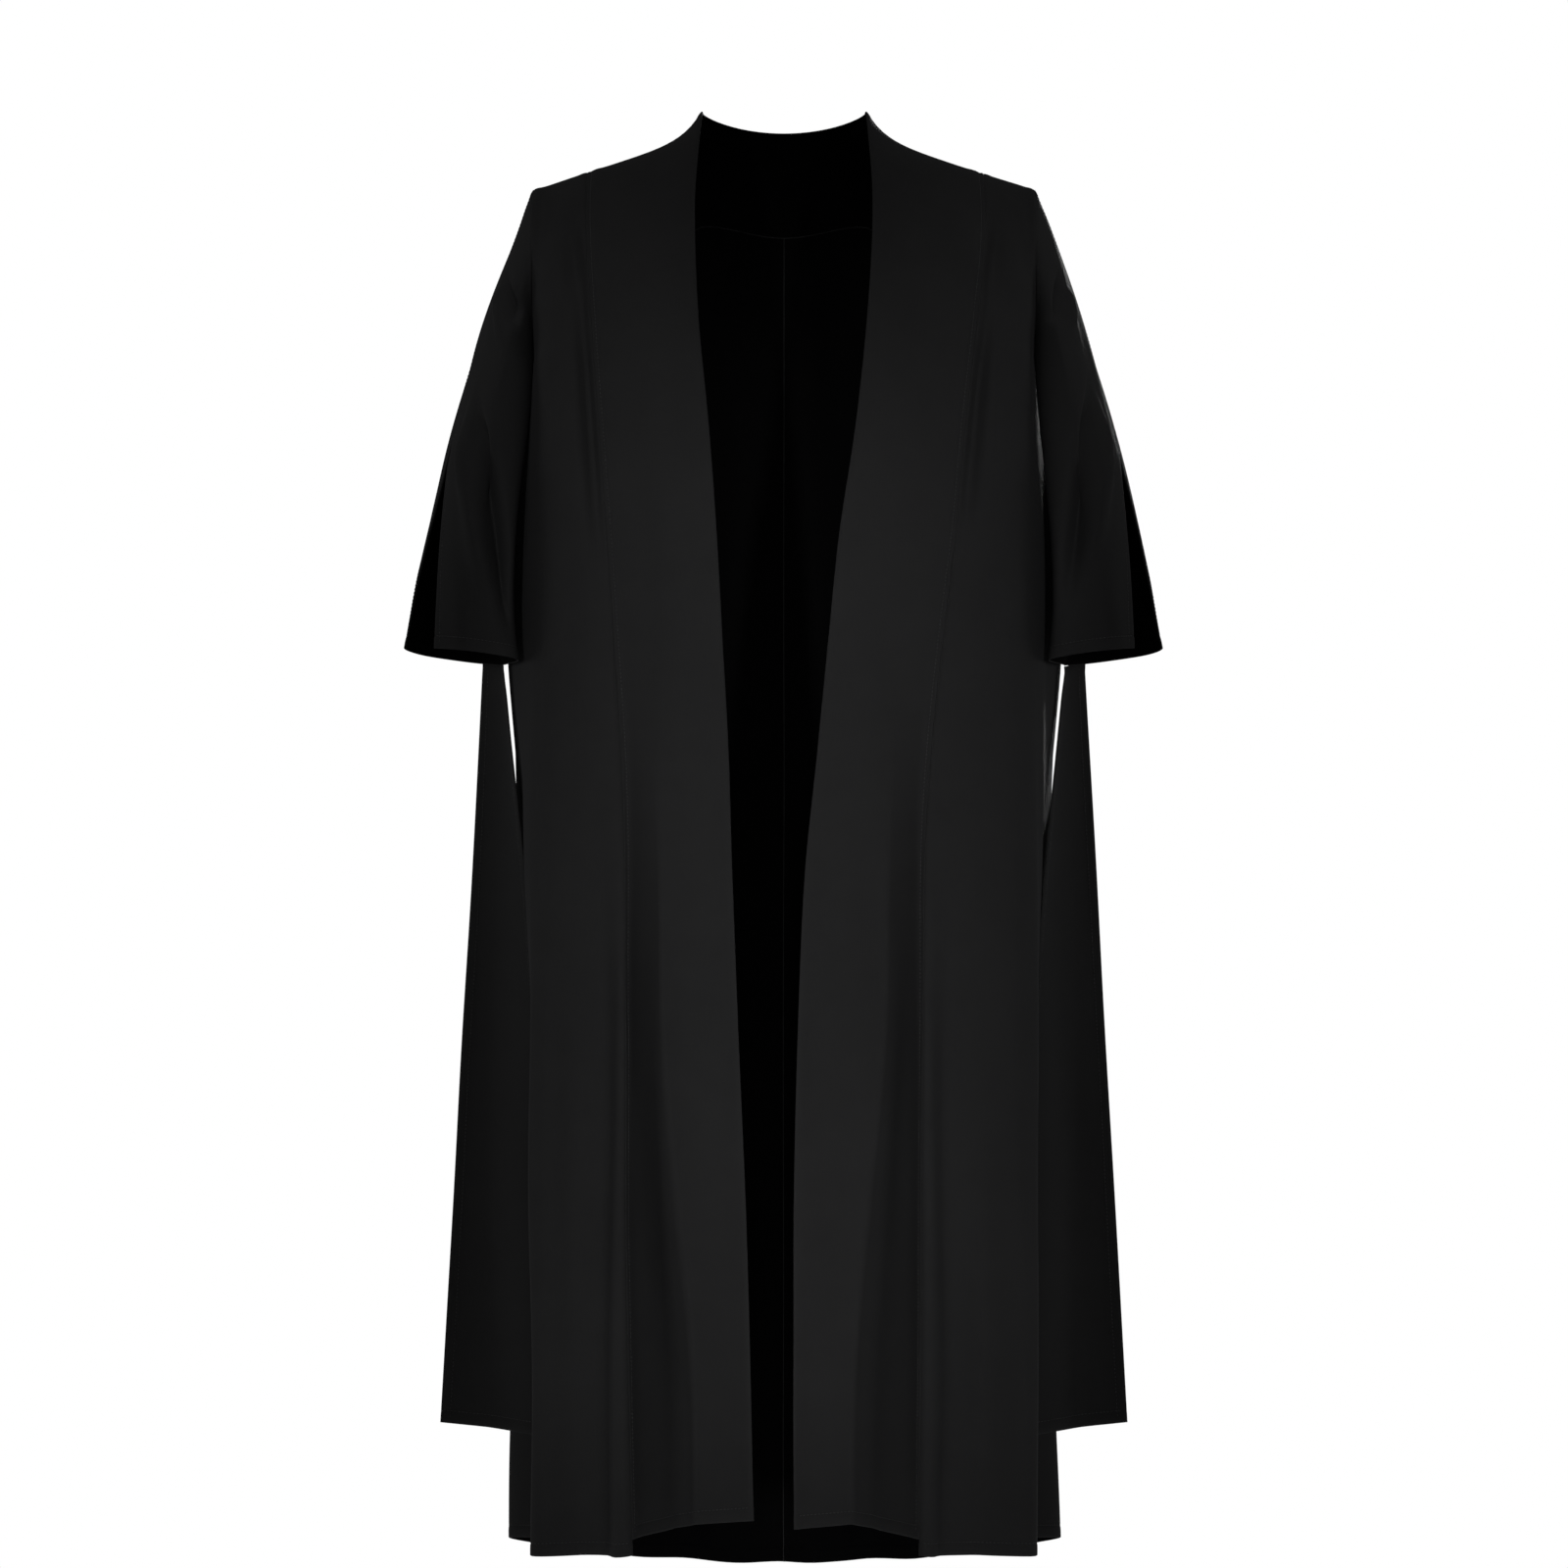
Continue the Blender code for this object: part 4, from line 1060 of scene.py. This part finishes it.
def fill(tree, node, **values):
    """Fills some of a node's sockets, each from a number, a colour or another node's socket.

    A socket goes by its name, with underscores for the spaces, or by its number after an underscore.
    """
    for name, value in values.items():
        socket = node.inputs[int(name[1:])] if name[0] == "_" else node.inputs[name.replace("_", " ")]
        if isinstance(value, bpy.types.NodeSocket):
            tree.links.new(value, socket)
        else:
            socket.default_value = value


def linked(tree, kind, **values):
    """A new node with some of its sockets filled."""
    node = tree.nodes.new(kind)
    fill(tree, node, **values)
    return node


def maths(tree, operation, *values):
    """The result of a sum on numbers or other nodes' sockets."""
    node = linked(tree, "ShaderNodeMath", **{f"_{k}": value for k, value in enumerate(values)})
    node.operation = operation
    return node.outputs[0]


def noise(tree, place, **values):
    """A soft random pattern over the places that a socket gives."""
    return linked(tree, "ShaderNodeTexNoise", Vector=place, **values).outputs[0]


def new_material(name):
    """A material, its nodes, its shader and the socket that gives places on the object."""
    material = bpy.data.materials.new(name)
    material.use_nodes = True
    tree = material.node_tree
    place = tree.nodes.new("ShaderNodeTexCoord").outputs["Object"]
    return material, tree, tree.nodes["Principled BSDF"], place


def colour_between(tree, shader, share, dark, pale):
    """Gives the shader a colour between two others, at a share of the way that a socket gives."""
    colour = tree.nodes.new("ShaderNodeMix")
    colour.data_type = "RGBA"
    colour.inputs[MIX_FIRST].default_value = dark
    colour.inputs[MIX_SECOND].default_value = pale
    fill(tree, colour, _0=share)
    fill(tree, shader, Base_Color=colour.outputs[MIX_RESULT])


def woven(name, dark, pale, gloss, sheen):
    """Plain-woven matte cloth: soft changes of colour, fine threads over and under, and slubs."""
    material, tree, shader, place = new_material(name)
    fill(tree, shader, Specular_IOR_Level=gloss)
    fill(tree, shader, Sheen_Weight=sheen, Sheen_Roughness=SHEEN_ROUGHNESS, Sheen_Tint=SHEEN_TINT)
    flat = tree.nodes.new("ShaderNodeUVMap")
    flat.uv_map = "cloth"
    threads = linked(tree, "ShaderNodeSeparateXYZ", _0=flat.outputs["UV"])
    over = []
    for axis in ("X", "Y"):
        turn = maths(tree, "MULTIPLY", threads.outputs[axis], math.pi / THREAD_PITCH)
        over.append(maths(tree, "SINE", turn))
    crossing = maths(tree, "MULTIPLY", over[0], over[1])
    slubs = []
    for stretch in ((SLUB_FINE, SLUB_LONG, 1), (SLUB_LONG, SLUB_FINE, 1)):
        run = linked(tree, "ShaderNodeMapping", Vector=flat.outputs["UV"], Scale=stretch)
        slubs.append(noise(tree, run.outputs[0], Scale=1.0, Detail=2.0))
    slub = maths(tree, "ADD", *slubs)
    soft = noise(tree, place, Scale=4.5, Detail=3.0, Roughness=0.55)
    patch = noise(tree, place, Scale=38.0, Detail=2.0, Roughness=0.5)
    # The cloth grows paler near free edges, partly as wear and partly as a painted highlight
    wear_and_highlight = tree.nodes.new("ShaderNodeAttribute")
    wear_and_highlight.attribute_name = "edge_wear_and_highlight"
    tone = maths(tree, "MULTIPLY_ADD", soft, TONES["soft"], TONES["start"])
    tone = maths(tree, "MULTIPLY_ADD", patch, TONES["patch"], tone)
    tone = maths(tree, "SUBTRACT", tone, TONES["slub mean"])
    tone = maths(tree, "MULTIPLY_ADD", slub, TONES["slub"], tone)
    tone = maths(tree, "MULTIPLY_ADD", wear_and_highlight.outputs["Fac"], TONES["edge wear and highlight"], tone)
    colour_between(tree, shader, tone, dark, pale)
    rough = maths(tree, "MULTIPLY_ADD", soft, ROUGH_CHANGE, ROUGH_LEAST)
    height = maths(tree, "MULTIPLY_ADD", crossing, CROSSING_SHARE, slub)
    relief = linked(tree, "ShaderNodeBump", Height=height, Strength=0.35, Distance=0.0002)
    fill(tree, shader, Roughness=rough, Normal=relief.outputs[0])
    return material


def thread_material():
    """The thread of the stitches, a little glossier than the cloth."""
    material, tree, shader, place = new_material("thread")
    fill(tree, shader, Specular_IOR_Level=0.3, Roughness=0.6)
    colour_between(tree, shader, noise(tree, place, Scale=900.0, Detail=1.0), THREAD_DARK, THREAD_PALE)
    return material


def turned_to(normals, direction):
    """The normals, turned over where their middle one faces away from a direction."""
    middle = normals[normals.shape[0] // 2, normals.shape[1] // 2]
    return normals if middle @ np.array(direction) > 0 else -normals


def kept_inside(normals, column, out):
    """Turns an armhole edge's normals so that its cloth stays on the body's side of the armhole."""
    edge = normals[:UNDERARM_ROW, column]
    edge[:, 0] = out * np.maximum(out * edge[:, 0], 0)
    normals[:UNDERARM_ROW, column] = unit(edge)


def share_seam(first, second, start=0):
    """Gives two edges that meet in a seam the mean of their normals, from a row downwards."""
    mean = unit(first[start:] + second[start:])
    first[start:] = mean
    second[start:] = mean


CLOTH_OUTSIDE = woven("black_cloth_outside", CLOTH_DARK, CLOTH_PALE, gloss=0.08, sheen=0.015)
# A darker copy of the cloth for the inner faces, as painted shade
CLOTH_INSIDE_PAINTED_SHADE = woven("black_cloth_inside_painted_shade", PAINTED_SHADE_INSIDE_DARK, PAINTED_SHADE_INSIDE_PALE, gloss=0.01, sheen=0.0)
THREAD = thread_material()


def made(name, rows, normals, thickness, edges, sewn_edges, both_sides=False):
    """One cloth piece and its stitches. edges gives the kind of some of the grid's own sides.

    With both_sides the cloth looks the same inside as outside, as on a strip that hangs free. Otherwise
    its inner face takes a darker copy of the cloth, as painted shade.
    """
    rows = edged(rows, normals, edges)
    pulls = {edge: thickness / 2 - (PRESSED if edge in sewn_edges else 0) for edge in ALL_EDGES}
    distances = edge_distances(rows)
    turned = np.zeros(rows.shape[:2])
    for edge, kind in edges.items():
        if kind in TURNED:
            turned = np.maximum(turned, turned_share(distances[edge], kind))
    rows = pulled_in(rows, pulls)
    thickness = thickness + TURNED_THICKER * turned
    # Inner faces get the darker copy, painted shade, unless the piece is seen from both sides
    materials = (CLOTH_OUTSIDE,) if both_sides else (CLOTH_OUTSIDE, CLOTH_INSIDE_PAINTED_SHADE)
    free_edges = [edge for edge in ALL_EDGES if edge not in sewn_edges]
    piece = cloth_piece(name, rows, normals, thickness, materials, free_edges)
    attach(piece, "root")
    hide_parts(name)
    lines = [
        line_inside(rows, normals, edge, STITCHED[kind]) for edge, kind in edges.items() if kind in STITCHED
    ]
    threads = stitches(f"{name}_stitches", lines, THREAD)
    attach(threads, "root")
    shared_name, side = name.rsplit("_", 1)
    [cut] = [row for row in CUTS if row["piece"] in (name, shared_name)]
    source = cut["hangs_from"]
    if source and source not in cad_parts:
        source = f"{source}_{side}"


def make_body():
    """The bands, the front panels, the yoke and the skirt halves."""
    back = back_surface()
    back_normals = turned_to(flat_at_shoulder(normals_of(back)), (0, 1, 0))
    neck = HALF_BACK_PLACES.index(NECK_PLACE)
    neck_columns = slice(neck + 1, -1 - neck)
    back_normals[0, neck_columns] = turned_to(normals_of(back), (0, 1, 0))[0, neck_columns]
    fronts = {}
    for side, flip, column in (("left", np.array, 0), ("right", mirrored, -1)):
        band, panel = front_surface(side)
        band_normals = turned_to(flat_at_shoulder(normals_of(band)), (0, -1, 0))
        panel_normals = turned_to(flat_at_shoulder(normals_of(panel)), (0, -1, 0))
        share_seam(band_normals[:, -1], panel_normals[:, 0])
        kept_inside(panel_normals, -1, 1)
        kept_inside(back_normals, column, 1 if side == "left" else -1)
        edge = flip(panel_normals[:, -1])
        share_seam(edge, back_normals[:, column], UNDERARM_ROW)
        panel_normals[:, -1] = flip(edge)
        views = {"front": FRONT_CREASES[side], "side": SIDE_CREASES}
        fronts[side] = creased([(band, band_normals), (panel, panel_normals)], views, flip)
    views = {"back": BACK_CREASES, "side": FLANK_CREASES, "right side": FLANK_CREASES}
    [(back, back_normals)] = creased([(back, back_normals)], views)
    for side, flip in (("left", np.array), ("right", mirrored)):
        (band, band_normals), (panel, panel_normals) = fronts[side]
        made(f"front_band_{side}", flip(band), flip(band_normals), BAND_CLOTH,
             edges={"right": "topstitched", "bottom": "hem", "left": "seam"},
             sewn_edges=("right", "top"))
        made(f"front_panel_{side}", flip(panel), flip(panel_normals), CLOTH,
             edges={"left": "seam", "right": "seam", "bottom": "hem"},
             sewn_edges=("left", "right", "top"))
    yoke, skirt = slice(0, YOKE_ROW + 1), slice(YOKE_ROW, None)
    made("back_yoke", back[yoke], back_normals[yoke], CLOTH,
         edges={"bottom": "topstitched", "top": "seam"},
         sewn_edges=("left", "right", "bottom"))
    centre = len(HALF_BACK_PLACES) - 1
    halves = (("left", slice(0, centre + 1)), ("right", slice(centre, None)))
    for side, half in halves:
        made(f"back_skirt_{side}", back[skirt, half], back_normals[skirt, half], CLOTH,
             edges={"left": "seam", "right": "seam", "top": "seam", "bottom": "hem"},
             sewn_edges=("left", "right", "top"))


def sleeve_normals(turns, shares):
    """Outward unit normals of the sleeve; at the armhole they lie in the armhole's plane."""
    nudge = 1e-4
    round_it = sleeve_points(turns + nudge, shares) - sleeve_points(turns - nudge, shares)
    along = sleeve_points(turns, np.minimum(shares + nudge, 1))
    along = along - sleeve_points(turns, np.maximum(shares - nudge, 0))
    normals = unit(np.cross(round_it, along))
    top = turns[0]
    forward, up = -np.sin(top) / ARMHOLE_HALF_DEPTH, np.cos(top) / ARMHOLE_HALF_HEIGHT
    normals[0] = unit(np.stack([np.zeros_like(top), forward, up], axis=-1))
    return normals


def make_sleeves():
    """The front, the back and the hanging panel of both sleeves."""
    slit = SLIT_TURN * np.sqrt(np.maximum(SLEEVE_DOWN - SLIT_START, 0) / (1 - SLIT_START))
    for side, flip in (("right", mirrored), ("left", np.array)):
        grids = []
        for first in (slit, np.full_like(slit, 2 * math.pi)):
            turns = first[:, None] + (math.pi - first)[:, None] * SLEEVE_ACROSS
            shares = np.broadcast_to(SLEEVE_DOWN[:, None], turns.shape)
            grids.append((sleeve_points(turns, shares), sleeve_normals(turns, shares)))
        grids = creased(grids, SLEEVE_CREASES[side], flip)
        for part, (rows, normals) in zip(("front", "back"), grids):
            made(f"sleeve_{part}_{side}", flip(rows), flip(normals), CLOTH,
                 edges={"left": "slit", "right": "seam", "top": "seam", "bottom": "hem"},
                 sewn_edges=("right", "top"))
        rows = hanging_grid()
        normals = normals_of(rows)
        normals[0] = sleeve_normals(HANG_TURNS[None], np.ones((1, len(HANG_TURNS))))[0]
        if normals[1, HANG_FACING] @ normals[0, HANG_FACING] < 0:
            normals[1:] *= -1
        [(rows, normals)] = creased([(rows, normals)], {"back": HANGING_CREASES[side]}, flip)
        made(f"hanging_panel_{side}", flip(rows), flip(normals), CLOTH,
             edges={"left": "slit", "right": "slit", "bottom": "hem"},
             sewn_edges=("top",), both_sides=True)


# Camera: level and square to the front
CAMERA_DISTANCE = 5.0
CAMERA_HEIGHT = -0.6257
CAMERA_LENS = 123.4
CAMERA_SENSOR = 36
CAMERA_REACH = 50
# Soft lights, each a rectangle that looks level or down at the gown, with its power in watts and its
# spread in degrees. A pair stands on both sides of the gown
LIGHTS = table(
    "name pair place target width height power spread",
    ("front", True, (0.58, -1.9, -0.76), (0.08, 0, -0.76), 0.10, 1.10, 0.61, 17),
    ("front", False, (0.0, -2.2, -0.76), (0, 0, -0.76), 0.20, 1.20, 0.4, 26),
    ("shoulder", True, (1.10, -1.6, 0.55), (0.24, -0.06, -0.16), 0.16, 0.16, 0.055, 14),
    ("side", True, (3.0, 0.9, -0.5), (0, 0, -0.63), 0.6, 1.6, 1.4, 50),
    ("back", False, (0.8, 3.3, 0.1), (0, 0, -0.63), 0.4, 1.2, 7, 50),
    ("top", False, (0.0, -0.8, 2.8), (0, 0, -0.40), 1.4, 0.8, 4.5, 90),
)
# The strength of the light from all round
AROUND = 0.05
FLOOR_HEIGHT = -1.50
FLOOR_RADIUS = 0.95
FLOOR_SIDES = 96
FLOOR_DARK = (0.80, 0.80, 0.80, 1.0)
FLOOR_PALE = (0.86, 0.86, 0.86, 1.0)
# The floor's own light, which keeps it pale under the dim lamps that black cloth is shown in
FLOOR_GLOW = 0.30


def look_at(thing, target):
    """Turns a lamp to a target."""
    away = np.array(thing.location) - np.array(target)
    flat = math.hypot(away[0], away[1])
    thing.rotation_euler = (math.atan2(flat, away[2]), 0, math.atan2(away[0], -away[1]))


def make_stage():
    """A round pale floor below the gown."""
    around = np.linspace(0, 2 * math.pi, FLOOR_SIDES, endpoint=False)
    points = [(FLOOR_RADIUS * math.cos(a), FLOOR_RADIUS * math.sin(a), FLOOR_HEIGHT) for a in around]
    mesh = bpy.data.meshes.new("floor")
    mesh.from_pydata(points, [], [list(range(len(points)))])
    material, tree, shader, place = new_material("pale_floor")
    colour_between(tree, shader, noise(tree, place, Scale=6.0, Detail=4.0), FLOOR_DARK, FLOOR_PALE)
    fill(tree, shader, Roughness=0.9, Emission_Color=WHITE, Emission_Strength=FLOOR_GLOW)
    mesh.materials.append(material)
    placed("floor", mesh)


def make_light():
    """A white background for the camera, dim light from all round, and the lamps."""
    world = bpy.data.worlds.new("studio")
    world.use_nodes = True
    tree = world.node_tree
    tree.nodes.clear()
    seen = linked(tree, "ShaderNodeBackground", Color=WHITE, Strength=1.0)
    soft = linked(tree, "ShaderNodeBackground", Color=WHITE, Strength=AROUND)
    path = tree.nodes.new("ShaderNodeLightPath")
    ray = path.outputs["Is Camera Ray"]
    mix = linked(tree, "ShaderNodeMixShader", _0=ray, _1=soft.outputs[0], _2=seen.outputs[0])
    linked(tree, "ShaderNodeOutputWorld", Surface=mix.outputs[0])
    bpy.context.scene.world = world
    for row in LIGHTS:
        lamps = [(row["name"], 1)]
        if row["pair"]:
            lamps = [(f"{row['name']} left", 1), (f"{row['name']} right", -1)]
        for name, sign in lamps:
            light = bpy.data.lights.new(name, "AREA")
            light.shape = "RECTANGLE"
            light.size = row["width"]
            light.size_y = row["height"]
            light.energy = row["power"]
            light.spread = math.radians(row["spread"])
            lamp = placed(name, light)
            lamp.location = np.array(row["place"]) * (sign, 1, 1)
            look_at(lamp, np.array(row["target"]) * (sign, 1, 1))
            lamp.visible_camera = False


def make_camera():
    """The camera, at the place that the photograph was taken from."""
    camera = bpy.data.cameras.new("camera")
    camera.lens = CAMERA_LENS
    camera.sensor_width = CAMERA_SENSOR
    camera.clip_end = CAMERA_REACH
    view = placed("camera", camera)
    view.location = (0, -CAMERA_DISTANCE, CAMERA_HEIGHT)
    view.rotation_euler = (math.pi / 2, 0, 0)
    bpy.context.scene.camera = view
    bpy.context.scene.view_settings.view_transform = "Standard"


make_body()
make_sleeves()
make_stage()
make_light()
make_camera()
